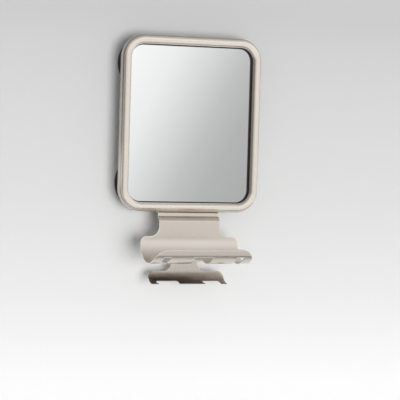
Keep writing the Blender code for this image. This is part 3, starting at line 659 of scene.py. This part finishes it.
cradle_low, cradle_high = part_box("can_cradle")
hook_low, hook_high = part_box("razor_hook")
flange_z = frame_low.z - GAP - HALF_SHEET
joggle_top = frame_low.z - STRIP_DROP
rear_y = STRIP_Y - JOGGLE
trough_y = rear_y - REAR_RADIUS
trough_z = cradle_low.z + HALF_SHEET
front_arc = arc((trough_y, trough_z + FRONT_RADIUS), FRONT_RADIUS, -90.0, -90.0 - FRONT_DEGREES, 40)
crease = front_arc[-1]
lip_turn = math.radians(LIP_DEGREES)
lip_end = crease + LIP_LENGTH * np.array([-math.cos(lip_turn), math.sin(lip_turn)])
cradle_line = bend_line(np.concatenate([
    rounded([
        (cradle_high.y, flange_z, 0.0), (STRIP_Y, flange_z, FLANGE_BEND), (STRIP_Y, joggle_top, JOGGLE_BEND),
        (rear_y, joggle_top - JOGGLE, JOGGLE_BEND), (rear_y, trough_z + REAR_RADIUS, 0.0),
    ], BEND_STEPS),
    arc((trough_y, trough_z + REAR_RADIUS), REAR_RADIUS, 0.0, -90.0, 60),
    front_arc[:-4],
    corner_arc(front_arc[-4], crease, lip_end, CREASE_RADIUS, 6),
    [lip_end],
]))
hook_y = hook_high.y - HALF_SHEET
curl_z = hook_low.z + HALF_SHEET + HOOK_RADIUS
hook_line = bend_line(np.concatenate([
    [(hook_y, hook_high.z)],
    arc((hook_y - HOOK_RADIUS, curl_z), HOOK_RADIUS, 0.0, -90.0 - HOOK_DEGREES, 70),
]))
print("blank lengths in mm:", round(1000 * cradle_line["s"][-1], 1), round(1000 * hook_line["s"][-1], 1))


def s_at(line, value, key, start, end):
    """The length along a line where y or z has a value, between two lengths where it only grows or falls."""
    between = (line["s"] >= start) & (line["s"] <= end)
    order = np.argsort(line[key][between])
    return np.interp(value, line[key][between][order], line["s"][between][order])


# %% [markdown]
# A blank is a list of cuts, the outline first and then its holes, and each corner of a cut has its own radius.
# To turn it into faces we lay points evenly over it and let Blender's Delaunay routine join them. The points
# are spread in a warped sheet, stretched where the line turns, so tight bends get many rows and flat parts few.
# A grid would leave stairs at the round corners, which is why these two pieces alone are triangulated.
# %% Blank to sheet
SPACING = 0.0026
TURN_PER_ROW = 4.5
LONGEST_SIDE = 0.8
EDGE_CLEAR = 0.55
SOFT_EDGE = 0.00022
CUT_STEPS = 8


def screw_hole(x, s):
    """A round hole that clears a screw."""
    return arc((x, s), HOLE_RADIUS + GAP, 0.0, 360.0, 24)[:-1]


def resampled(outline, most):
    """The outline with extra points, so that no side is longer than most."""
    side = np.roll(outline, -1, axis=0) - outline
    counts = np.ceil(np.linalg.norm(side, axis=1) / most).astype(int).clip(1)
    start = np.repeat(np.arange(len(outline)), counts)
    step = np.arange(counts.sum()) - np.repeat(np.cumsum(counts) - counts, counts)
    return outline[start] + side[start] * (step / counts[start])[:, None]


def inside(points, outline):
    """True where a point lies inside an outline, by counting the sides to its right."""
    after = np.roll(outline, -1, axis=0)
    x, y = points[:, :1], points[:, 1:]
    crosses = (outline[:, 1] > y) != (after[:, 1] > y)
    with np.errstate(divide="ignore", invalid="ignore"):
        at = outline[:, 0] + (y - outline[:, 1]) * (after[:, 0] - outline[:, 0]) / (after[:, 1] - outline[:, 1])
    return (crosses & (x < at)).sum(1) % 2 == 1


def edge_distance(points, outlines):
    """Distance from each point to the nearest point of the outlines."""
    marks = np.concatenate(outlines).astype(np.float32)
    return np.concatenate([
        np.linalg.norm(part[:, None] - marks, axis=2).min(1)
        for part in np.array_split(points.astype(np.float32), 1 + len(points) // 500)
    ])


def bent_sheet(name, line, *cuts):
    """Triangulate the blank inside its first cut in its warped plane, bend it, and give it thickness."""
    measure = line["s"] / SPACING + line["turn"] / TURN_PER_ROW

    def warp(flat):
        return np.stack([flat[:, 0] / SPACING, np.interp(flat[:, 1], line["s"], measure)], -1)

    loops = [resampled(warp(resampled(cut, SPACING / 2)), LONGEST_SIDE) for cut in cuts]
    low, high = loops[0].min(0), loops[0].max(0)
    lattice = np.stack(np.meshgrid(np.arange(low[0], high[0]), np.arange(low[1], high[1])), -1).reshape(-1, 2)
    free = inside(lattice, loops[0]) & (edge_distance(lattice, loops) > EDGE_CLEAR)
    sides, first = [], 0
    for loop in loops:
        number = np.arange(len(loop))
        sides += (first + np.stack([number, (number + 1) % len(loop)], -1)).tolist()
        first += len(loop)
    made = geometry.delaunay_2d_cdt(np.concatenate([*loops, lattice[free]]).tolist(), sides, [], 1, 1e-7)
    flat, faces = np.array([tuple(v) for v in made[0]]), np.array(made[2])
    middle = flat[faces].mean(1)
    in_hole = np.any([inside(middle, loop) for loop in loops[1:]], axis=0)
    used, corners = np.unique(faces[inside(middle, loops[0]) & ~in_hole], return_inverse=True)
    x, s = flat[used, 0] * SPACING, np.interp(flat[used, 1], measure, line["s"])
    placed = np.stack([x, np.interp(s, line["s"], line["y"]), np.interp(s, line["s"], line["z"])], -1)
    mesh = bpy.data.meshes.new(name)
    mesh.from_pydata(placed.tolist(), [], corners.reshape(-1, 3).tolist())
    reach = edge_distance(np.stack([x, s], -1), [resampled(cut, SPACING / 8) for cut in cuts])
    for label, values in (("edge_distance", reach), ("bend_length", s)):
        mesh.attributes.new(label, "FLOAT", "POINT").data.foreach_set("value", values.astype(np.float32))
    piece = finish_mesh(name, mesh, 60.0)
    thick = piece.modifiers.new("thickness", "SOLIDIFY")
    thick.thickness = SHEET
    thick.offset = 0.0
    thick.use_even_offset = True
    soft = piece.modifiers.new("soft_edges", "BEVEL")
    soft.width = SOFT_EDGE
    soft.segments = 2
    soft.limit_method = "ANGLE"
    soft.angle_limit = math.radians(50.0)
    return piece


print("rows on a quarter turn:", 90.0 / TURN_PER_ROW)

# %% [markdown]
# The cradle's blank is a strip, hollow fillets, round shoulders, a wide body with three slots, and a lip with
# large round corners. These are quarter circles seen from the front, so each point of them is looked up on the
# line by its height.
# %% Cradle
STRIP_HALF = 0.0403
CRADLE_HALF = (cradle_high.x - cradle_low.x) / 2
LIP_CORNER = 0.0175
CUT_CORNER = 0.0010
CRADLE_FILLET = 0.0120
SHOULDER_RADIUS = 0.0080
SHOULDER_RISE = 0.0319
SLOTS = ((0.0, 0.0245), (-0.048, 0.0092), (0.048, 0.0092))
SLOT_FORWARD = 0.0247
SLOT_BACKWARD = 0.0108
SLOT_CORNER = 0.0015
end_s = cradle_line["s"][-1]
bottom_s = s_at(cradle_line, trough_z + REAR_RADIUS, "z", 0.0, end_s / 2) + REAR_RADIUS * math.radians(90.0)
shoulder_s = s_at(cradle_line, cradle_low.z + SHOULDER_RISE, "z", 0.010, bottom_s)

corner_turn = np.radians(np.linspace(0.0, 90.0, 25))
corner_x = CRADLE_HALF - LIP_CORNER * (1 - np.cos(corner_turn))
corner_s = s_at(cradle_line, lip_end[1] - LIP_CORNER * (1 - np.sin(corner_turn)), "z", bottom_s, end_s)
right_side = [(STRIP_HALF, 0.0, CUT_CORNER), (STRIP_HALF, shoulder_s, CRADLE_FILLET)]
right_side += [(CRADLE_HALF, shoulder_s, SHOULDER_RADIUS), *((x, s, 0.0) for x, s in zip(corner_x, corner_s))]
left_side = [(-x, s, radius) for x, s, radius in reversed(right_side)]


def slot(middle, width):
    """A slot across the trough's bottom, with small round corners."""
    front, rear = (s_at(cradle_line, y, "y", bottom_s - 0.020, end_s)
                   for y in (trough_y - SLOT_FORWARD, trough_y + SLOT_BACKWARD))
    left, right = middle - width / 2, middle + width / 2
    corners = ((left, rear), (right, rear), (right, front), (left, front))
    return rounded([(x, s, SLOT_CORNER) for x, s in corners], CUT_STEPS)


flange_hole_s = cradle_high.y - place_of("cradle_screw_1")[1]
cradle_holes = [slot(middle, width) for middle, width in SLOTS]
cradle_holes += [screw_hole(place_of(node)[0], flange_hole_s) for node in LOW_SCREWS]
cradle_cut = rounded(right_side + left_side, CUT_STEPS)
cradle_piece = bent_sheet("cradle_sheet", cradle_line, cradle_cut, *cradle_holes)
put_on(cradle_piece, sheet_nickel("satin_nickel_cradle"), "mirror", "sheet_nickel", "can_cradle")
print("cradle faces:", len(cradle_piece.data.polygons))

# %% [markdown]
# The hook's blank is a neck with hollow fillets, a wide blade with round ends that stands a little off the
# middle, and two notches cut into the front edge.
# %% Hook
NECK_HALF = 0.0176
NECK_FILLET = 0.0090
BLADE_SHOULDER = 0.0080
BLADE_CORNER = 0.0040
FALL_RISE = 0.0161
BLADE_RISE = 0.0151
NOTCHES = ((-0.0400, -0.0102), (0.0220, 0.0450))
NOTCH_START = 0.0092
NOTCH_MOUTH, NOTCH_ROOT = 0.0012, 0.0030
hook_end_s = hook_line["s"][-1]
curl_s = hook_high.z - curl_z
hook_bottom_s = curl_s + HOOK_RADIUS * math.radians(90.0)
fall_s, blade_s = (s_at(hook_line, hook_low.z + rise, "z", 0.0, hook_bottom_s) for rise in (FALL_RISE, BLADE_RISE))
notch_s = s_at(hook_line, hook_y - HOOK_RADIUS + NOTCH_START, "y", curl_s, hook_end_s)
hook_corners = [(-NECK_HALF, 0.0, CUT_CORNER), (-NECK_HALF, fall_s, NECK_FILLET)]
hook_corners += [(hook_low.x, blade_s, BLADE_SHOULDER), (hook_low.x, hook_end_s, BLADE_CORNER)]
for left, right in NOTCHES:
    hook_corners += [(left, hook_end_s, NOTCH_MOUTH), (left, notch_s, NOTCH_ROOT)]
    hook_corners += [(right, notch_s, NOTCH_ROOT), (right, hook_end_s, NOTCH_MOUTH)]
hook_corners += [(hook_high.x, hook_end_s, BLADE_CORNER), (hook_high.x, blade_s, BLADE_SHOULDER)]
hook_corners += [(NECK_HALF, fall_s, NECK_FILLET), (NECK_HALF, 0.0, CUT_CORNER)]
strap_holes = [screw_hole(x, hook_high.z - z) for x, _, z in map(place_of, REAR_SCREWS[-2:])]
# Painted shade along the hook's curl, growing towards its end.
HOOK_PAINTED_SHADE = ((curl_s - 0.006, 0.0), (curl_s + 0.006, 0.25), (curl_s + 0.015, 0.75), (hook_end_s, 0.95))
hook_piece = bent_sheet("hook_sheet", hook_line, rounded(hook_corners, CUT_STEPS), *strap_holes)
put_on(hook_piece, sheet_nickel("satin_nickel_hook", HOOK_PAINTED_SHADE), "mirror", "sheet_nickel", "razor_hook")
print("hook faces:", len(hook_piece.data.polygons))

# %% [markdown]
# A suction cup is one turned shape in soft black rubber. Pressed on the wall it is nearly flat, with a thin
# lip, a hollow in the middle and a neck with a pocket for the stud's foot. The dome's height grows with a power
# of the distance from the lip, which gives the slack curve of rubber under load.
# %% Suction cups
CUP_RADIUS = 0.0350
CUP_LIP = 0.0009
CUP_CROWN = 0.0056
CUP_NECK = 0.0085
CUP_TOP = -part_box("suction_cup_top_left")[0].y
NECK_ROUND, NECK_LIFT = 0.0010, 0.0008
TOP_ROUND = 0.0005
DOME_POWER = 1.5
LAND_RADIUS = 0.0240
HOLLOW = 0.0014
HOLLOW_POWER = 2.4
STUD_RADIUS = 0.0030
POCKET_RADIUS = 0.0061
POCKET_LOW, POCKET_HIGH = 0.0045, 0.0067
AXIS_HOLE = 0.00002
DUSTY_BLACK = (0.050, 0.049, 0.048)

dome_share = np.linspace(0.0, 1.0, 22)[1:-1]
dome = np.stack([
    CUP_RADIUS + (CUP_NECK - CUP_RADIUS) * dome_share,
    CUP_LIP + (CUP_CROWN - CUP_LIP) * dome_share ** DOME_POWER,
], -1)
hollow_share = np.linspace(0.0, 1.0, 12)[1:]
hollow = np.stack([LAND_RADIUS * hollow_share, HOLLOW * (1 - hollow_share ** HOLLOW_POWER)], -1)
cup_profile = np.concatenate([
    [(AXIS_HOLE, HOLLOW)], hollow,
    arc((CUP_RADIUS - CUP_LIP / 2, CUP_LIP / 2), CUP_LIP / 2, -90.0, 90.0, 8),
    dome,
    arc((CUP_NECK + NECK_ROUND, CUP_CROWN + NECK_LIFT), NECK_ROUND, 270.0, 180.0, 6),
    arc((CUP_NECK - TOP_ROUND, CUP_TOP - TOP_ROUND), TOP_ROUND, 0.0, 90.0, 5),
    [(STUD_RADIUS + GAP, CUP_TOP), (STUD_RADIUS + GAP, POCKET_HIGH), (POCKET_RADIUS, POCKET_HIGH)],
    [(POCKET_RADIUS, POCKET_LOW), (AXIS_HOLE, POCKET_LOW)],
])
CORNERS = [f"{row}_{side}" for row in ("top", "bottom") for side in ("left", "right")]
for corner in CORNERS:
    node = f"suction_cup_{corner}"
    cup = turned_piece(f"cup_{corner}", cup_profile, 96, place_of(node, y=0.0), "from_wall", sharp_degrees=50.0)
    put_on(cup, black_rubber(f"cup_rubber_{corner}", color=DUSTY_BLACK), "wall_side", "black_rubber", node)
print("cup height in mm:", round(1000 * CUP_TOP, 2))

# %% [markdown]
# The studs are turned steel with a bright plate. A foot is trapped in the rubber, and a round head hangs in the
# keyhole. Small rounds on the head let it find the hole.
# %% Cup studs
STUD_HEAD, HEAD_THICKNESS, HEAD_EDGE = 0.0055, 0.0020, 0.0005
STUD_FOOT, FOOT_THICKNESS, FOOT_EDGE = 0.0058, 0.0016, 0.0003
stud_low, stud_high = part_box("cup_stud_top_left")
foot_low, head_high = -stud_high.y, -stud_low.y
foot_high, head_low = foot_low + FOOT_THICKNESS, head_high - HEAD_THICKNESS


def plated_steel(name, color=(0.66, 0.665, 0.67)):
    """Bright plated steel with turning marks as fine grain."""
    return base_material(name, color, 0.24, (900.0, 2400.0, 900.0), depth=0.08, cloud=80.0, metal=1.0)[0]


def soft_disc(radius, low, high, edge):
    """The rim of a disc with both edges rounded, from its lower face to its upper one."""
    lower, upper = (radius - edge, low + edge), (radius - edge, high - edge)
    return np.concatenate([arc(lower, edge, -90.0, 0.0, 5), arc(upper, edge, 0.0, 90.0, 5)])


stud_profile = np.concatenate([
    [(AXIS_HOLE, foot_low)], soft_disc(STUD_FOOT, foot_low, foot_high, FOOT_EDGE),
    [(STUD_RADIUS, foot_high), (STUD_RADIUS, head_low)],
    soft_disc(STUD_HEAD, head_low, head_high, HEAD_EDGE), [(AXIS_HOLE, head_high)],
])
for corner in CORNERS:
    node = f"cup_stud_{corner}"
    stud = turned_piece(f"stud_{corner}", stud_profile, 64, place_of(node, y=0.0), "from_wall")
    put_on(stud, plated_steel(f"stud_plate_{corner}"), "wall_side", "stud_steel", node)
print("stud length in mm:", round(1000 * (head_high - foot_low), 2))

# %% [markdown]
# A screw is one grid with two formulas. The head's height is a function of radius and angle: a dome, less a
# cross-shaped dip for the driver. The shank's radius is a function of angle and height: it rises and falls once
# per pitch, and the phase shifts with the angle, which is what makes a thread.
# %% Screws
HEAD_RADIUS = 0.0027
HEAD_HEIGHT = 0.0018
RIM_SHARE = 0.72
PITCH = 0.0009
THREAD_DEPTH = 0.00022
RECESS_DEPTH = 0.0009
RECESS_REACH = 0.0017
RECESS_HALF = 0.00032
ARM_TAPER, ARM_EASE, ARM_SLOPE, END_SLOPE = 1.35, 0.0001, 0.00014, 0.0004
TIP_LENGTH, PLAIN_NECK, UNDER_EDGE = 0.0008, 0.0003, 0.0001
SCREW_STEPS = 96


def head_height(radius, angle):
    """Dome height less the driver's cross, for arrays of radius and angle."""
    curve = np.sqrt(np.clip(1 - (radius / HEAD_RADIUS) ** 2, 0, 1))
    dome_height = HEAD_HEIGHT * (RIM_SHARE + (1 - RIM_SHARE) * curve)
    across = np.minimum(np.abs(radius * np.cos(angle)), np.abs(radius * np.sin(angle)))
    arm_half = RECESS_HALF * (ARM_TAPER - radius / RECESS_REACH) + ARM_EASE
    arm = np.clip((arm_half - across) / ARM_SLOPE, 0, 1)
    reach = np.clip((RECESS_REACH - radius) / END_SLOPE, 0, 1)
    return dome_height - RECESS_DEPTH * arm * reach


def screw_points():
    """One grid from the tip of the shank to the middle of the head, height 0 under the head."""
    share = np.arange(SCREW_STEPS)[:, None] / SCREW_STEPS
    shank = np.linspace(-SCREW_LENGTH + TIP_LENGTH, -PLAIN_NECK, 62)[None, :]
    thread = THREAD_DEPTH * np.abs(2 * ((shank / PITCH - share) % 1.0) - 1)
    top = HEAD_RADIUS * np.sin(np.radians(np.linspace(90.0, 0.5, 34)))[None, :]
    under = (SCREW_RADIUS - THREAD_DEPTH, HEAD_RADIUS - UNDER_EDGE)
    radius = [(AXIS_HOLE, SCREW_RADIUS / 2), SCREW_RADIUS - thread, under, top]
    height = [(-SCREW_LENGTH, -SCREW_LENGTH), shank, (0.0, 0.0), head_height(top, np.radians(360.0) * share)]

    def rows(parts):
        return np.concatenate([np.broadcast_to(p, (SCREW_STEPS, np.shape(p)[-1])) for p in parts], axis=1)

    return turned(rows(radius), rows(height), SCREW_STEPS)


SCREW = screw_points()


def screw_piece(node, place, axis):
    """A screw at a place, its head pointing along the axis."""
    piece = grid_piece(f"{node}_fine", np.asarray(place) + SCREW @ AXES[axis], sharp_degrees=40.0)
    put_on(piece, plated_steel(f"{node}_zinc", (0.60, 0.60, 0.585)), "mirror", "screw_steel", node)


for node in REAR_SCREWS:
    screw_piece(node, place_of(node, y=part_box(node)[1].y - HEAD_HEIGHT), "to_wall")
for node in LOW_SCREWS:
    screw_piece(node, place_of(node, z=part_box(node)[0].z + HEAD_HEIGHT), "down")
print("points in a screw:", SCREW.shape[0] * SCREW.shape[1])

# %% [markdown]
# Two foam pads press the glass forward into its seal. A pad is a rounded block whose faces bulge a little: its
# outline in each slice is a superellipse, and the slices shrink towards both faces.
# %% Foam pads
PAD_STEPS, PAD_SLICES = 120, 21
ACROSS_POWER, UP_POWER, FACE_POWER, DEPTH_POWER = 0.16, 0.05, 0.22, 0.6


def pad_points(low, high):
    """A block between two corners: sign(c) |c| to a power, in the face plane and through the depth."""
    middle, half = (np.array(low) + np.array(high)) / 2, (np.array(high) - np.array(low)) / 2
    angle = np.radians(360.0) * np.arange(PAD_STEPS)[:, None] / PAD_STEPS
    rise = np.radians(np.linspace(-89.0, 89.0, PAD_SLICES))[None, :]

    def power(value, share):
        return np.sign(value) * np.abs(value) ** share

    flat, depth = power(np.cos(rise), FACE_POWER), power(np.sin(rise), DEPTH_POWER)
    across, up = power(np.cos(angle), ACROSS_POWER) * flat, power(np.sin(angle), UP_POWER) * flat
    return middle + half * np.stack(np.broadcast_arrays(across, depth, up), -1)


for side in ("left", "right"):
    low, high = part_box(f"foam_pad_{side}")
    foam = base_material(f"foam_{side}", (0.30, 0.30, 0.31), 0.92, (3200.0, 3200.0, 3200.0), depth=0.2, cloud=120.0,
                         bump=0.6, bump_height=0.0001, spread=0.04)[0]
    pad = grid_piece(f"pad_{side}", pad_points(low, high), sharp_degrees=80.0)
    put_on(pad, foam, "mirror", "foam", f"foam_pad_{side}")
print("foam pads in mm:", [round(1000 * v, 1) for v in high - low])

# %% [markdown]
# The back plate keeps the construction's own shape, which already has its dish, its keyholes and its screw
# holes. It only needs a finish: grey moulded plastic with the even, pebbled skin of a spark-eroded mould.
# %% Back plate
plate_finish, plate_tree, plate_shader = base_material(
    "moulded_grey", (0.40, 0.40, 0.41), 0.52, (1100.0, 1100.0, 1100.0), cloud=18.0,
    bump=0.5, bump_height=0.00006, spread=0.10)[:3]
plug(plate_tree, plate_shader, {"Specular IOR Level": 0.4})
back_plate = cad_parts["back_plate"]
back_plate.data.materials.clear()
back_plate.data.materials.append(plate_finish)
print("back plate keeps its", len(back_plate.data.polygons), "faces")

# %% [markdown]
# The stage is a pale wall that the cups stand on, and a floor far below. The wall is lighter towards the
# bottom: that is light painted into its colour. Seen from behind, wall and floor would hide the mirror, so their
# back faces let sight through. The wall also lets soft light through to what the camera sees, because it would not
# reach the cups' backs otherwise; light that has bounced before stops there, which keeps the shadows on the
# wall. Metal that faces down shows what lies deep below it, and there shade is painted in: a dim corner, where
# wall and floor meet. Both are only dim for reflections, so that the stage itself stays pale.
# %% Wall and floor
WALL_Y = 0.0004
STAGE_REACH = 1.6
STAGE_DEPTH = 2 * STAGE_REACH
# Painted light: the wall's colour, lighter towards the bottom.
WALL_PAINTED_LIGHT = ((-0.33, 0.98), (-0.2125, 0.85), (-0.095, 0.757), (0.0225, 0.70), (0.10, 0.65), (0.14, 0.61))
# Painted shade for reflections: the wall seen darker low down.
WALL_REFLECTION_SHADE = ((-0.70, 0.30), (-0.45, 0.60), (-0.33, 0.92), (-0.25, 1.0))
FIRST_BOUNCE = 1.5
FLOOR_Z = -0.9
FLOOR_GREY = (0.82, 0.82, 0.82)
FLOOR_LIFT = 0.6
# Painted shade for reflections: the floor's glow fades near the wall.
FLOOR_GLOW_SHADE = ((-1.2, 0.98), (-0.75, 0.95), (-0.40, 0.86), (-0.25, 0.50), (-0.10, 0.20))


def plane_piece(name, finish, *edges):
    """A piece of the stage between two edges along X, each at a (y, z)."""
    corners = [(side * STAGE_REACH, *edges[edge]) for edge, side in ((0, -1), (0, 1), (1, 1), (1, -1))]
    mesh = bpy.data.meshes.new(name)
    mesh.from_pydata(corners, [], [(0, 1, 2, 3)])
    mesh.materials.append(finish)
    piece = put_in_scene(name, mesh)
    piece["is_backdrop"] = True
    return piece


def finish_stage(tree, shader, mask):
    """Give a stage its shader, clear where the mask is 1."""
    clear = new_node(tree, "BsdfTransparent").outputs["BSDF"]
    plug(tree, tree.nodes["Material Output"], {"Surface": shader_mix(tree, mask, shader, clear)})


def wall_paint():
    """Matt paint with painted light, lighter downwards, and painted shade low down for reflections; clear from
    behind and for the first bounce of soft light.
    """
    material, tree, shader = new_material("wall_paint")
    height = parts_of(tree, new_node(tree, "TexCoord").outputs["Object"])["Z"]
    rays = new_node(tree, "LightPath").outputs
    back_face = new_node(tree, "NewGeometry").outputs["Backfacing"]
    level = level_ramp(tree, height, WALL_PAINTED_LIGHT)
    # Painted shade, seen only in reflections, lower on the wall.
    reflection_shaded = product_of(tree, level, level_ramp(tree, height, WALL_REFLECTION_SHADE))
    color = mix_of(tree, rays["Is Glossy Ray"], level, reflection_shaded)
    plug(tree, shader, {"Base Color": color, "Roughness": 0.9, "Specular IOR Level": 0.1})
    soft_first = math_of(tree, "LESS_THAN", rays["Ray Depth"], FIRST_BOUNCE)
    soft_light = math_of(tree, "MULTIPLY", rays["Is Diffuse Ray"], soft_first)
    finish_stage(tree, shader.outputs["BSDF"], math_of(tree, "MAXIMUM", back_face, soft_light))
    return material


def floor_paint():
    """Matt paint, lifted for the camera; metal and mirror see a glow instead, with painted shade where it fades
    towards the wall.
    """
    material, tree, shader, _, place, _ = base_material("floor_paint", FLOOR_GREY, 0.9, (30.0, 30.0, 30.0))
    rays = new_node(tree, "LightPath").outputs
    back_face = new_node(tree, "NewGeometry").outputs["Backfacing"]
    pale = new_node(tree, "Emission").outputs["Emission"]
    level = level_ramp(tree, parts_of(tree, place)["Y"], FLOOR_GLOW_SHADE)
    glow = new_node(tree, "Emission", {"Color": level}).outputs["Emission"]
    lift = math_of(tree, "MULTIPLY", rays["Is Camera Ray"], FLOOR_LIFT)
    lifted = shader_mix(tree, lift, shader.outputs["BSDF"], pale)
    finish_stage(tree, shader_mix(tree, rays["Is Glossy Ray"], lifted, glow), back_face)
    return material


wall = plane_piece("wall", wall_paint(), (WALL_Y, FLOOR_Z), (WALL_Y, STAGE_REACH))
floor = plane_piece("floor", floor_paint(), (-STAGE_DEPTH, FLOOR_Z), (WALL_Y, FLOOR_Z))
floor.visible_shadow = False
print("stage:", wall.name, floor.name)

# %% [markdown]
# Metal and mirror show the room, so the room is the light. The world is a large soft studio, and its level is
# the product of two ramps: one along X, which is dark at the far left, and one along Z, which is dimmer
# overhead. A round bar shows both as soft bands. The mirror looks at one small part of the sky only, right of
# the camera, and there a third ramp takes over: the edge of a light panel, which the mirror shows as a
# gradient. Rubber and plastic get an even light instead, stronger from behind, where no lamp reaches them.
# %% World
ACROSS_LEVELS = (
    (-1.0, 0.22), (-0.94, 0.36), (-0.87, 0.50), (-0.71, 0.66), (-0.50, 0.78), (-0.26, 0.86), (0.0, 0.91),
    (0.34, 0.93), (0.64, 0.90), (0.87, 0.84), (1.0, 0.76),
)
HEIGHT_LEVELS = (
    (-1.0, 0.80), (-0.73, 1.05), (-0.30, 1.12), (-0.08, 1.0), (0.08, 1.0), (0.22, 1.12), (0.45, 1.10), (0.66, 0.93),
    (0.95, 0.60), (1.0, 0.52),
)
EVEN_LEVELS = ((-1.0, 0.38), (0.0, 0.38), (0.5, 0.95), (1.0, 0.95))
PANEL_HEADING = (0.353, -0.935, 0.0)
PANEL_FULL, PANEL_END = 0.07, 0.13
PANEL_SLANT = (1.0, 0.0, -0.47)
PANEL_LEVELS = (
    (0.300, 1.03), (0.323, 0.93), (0.341, 0.76), (0.359, 0.585), (0.375, 0.500), (0.400, 0.455), (0.440, 0.450),
)

world = bpy.data.worlds.new("studio")
world.use_nodes = True
bpy.context.scene.world = world
sky = world.node_tree
heading = new_node(sky, "TexCoord").outputs["Generated"]
toward = parts_of(sky, heading)
room = product_of(sky, level_ramp(sky, toward["X"], ACROSS_LEVELS), level_ramp(sky, toward["Z"], HEIGHT_LEVELS))
slant = new_node(sky, "VectorMath", {0: heading, 1: PANEL_SLANT}, operation="DOT_PRODUCT").outputs["Value"]
away = new_node(sky, "VectorMath", {0: heading, 1: PANEL_HEADING}, operation="DISTANCE").outputs["Value"]
panel = new_node(sky, "MapRange", {"Value": away, "From Min": PANEL_END, "From Max": PANEL_FULL},
                 interpolation_type="SMOOTHSTEP").outputs["Result"]
seen = mix_of(sky, panel, room, level_ramp(sky, slant, PANEL_LEVELS))
shown = plug(sky, sky.nodes["Background"], {"Color": seen}).outputs["Background"]
even = new_node(sky, "Background", {"Color": level_ramp(sky, toward["Y"], EVEN_LEVELS)}).outputs["Background"]
light = shader_mix(sky, new_node(sky, "LightPath").outputs["Is Diffuse Ray"], shown, even)
plug(sky, sky.nodes["World Output"], {"Surface": light})
print("nodes in the world:", len(sky.nodes))

# %% [markdown]
# One soft sun at the right and a little below throws the tight shadow to the left of the frame and above it.
# Metal would show it as a hard streak, so reflections don't see it: they see the studio alone.
# %% Sun
SUN_FROM = np.array([0.140, -0.90, -0.10])
SUN_POWER = 1.9
SUN_DEGREES = 34.0

sun_data = bpy.data.lights.new("sun", "SUN")
sun_data.energy = SUN_POWER
sun_data.angle = math.radians(SUN_DEGREES)
sun = put_in_scene("sun", sun_data)
sun.visible_glossy = False
back = SUN_FROM / np.linalg.norm(SUN_FROM)
side = np.cross((0.0, 0.0, 1.0), back)
side /= np.linalg.norm(side)
turn = np.eye(4)
turn[:3, :3] = np.stack([side, np.cross(back, side), back], -1)
sun.matrix_world = Matrix(turn.tolist())
print("the sun shines from:", back.round(3).tolist())

# %% [markdown]
# The camera stands where the photographer stood: to the left, at about the object's middle height, well over
# two metres away with a long lens. Three angles turn it: across to the object, a little down, and a small roll
# that keeps the picture's own tilt.
# %% Camera
LENS_PIXELS = 1809.0
PICTURE = 400.0
SENSOR = 36.0
CAMERA_PLACE = (-0.7980, -2.1457, -0.0116)
TURN_DEGREES, DROP_DEGREES, ROLL_DEGREES = -20.984, 2.089, 1.67

camera_data = bpy.data.cameras.new("camera")
camera_data.sensor_width = SENSOR
camera_data.lens = LENS_PIXELS / PICTURE * SENSOR
camera = put_in_scene("camera", camera_data)
across, drop, roll = (math.radians(v) for v in (TURN_DEGREES, DROP_DEGREES, ROLL_DEGREES))
facing = Matrix.Rotation(across, 4, "Z") @ Matrix.Rotation(math.radians(90.0) - drop, 4, "X")
camera.matrix_world = Matrix.Translation(CAMERA_PLACE) @ facing @ Matrix.Rotation(roll, 4, "Z")
bpy.context.scene.camera = camera
bpy.context.scene.view_settings.view_transform = "Standard"
print("lens in mm:", round(camera_data.lens, 1))

low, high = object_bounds()
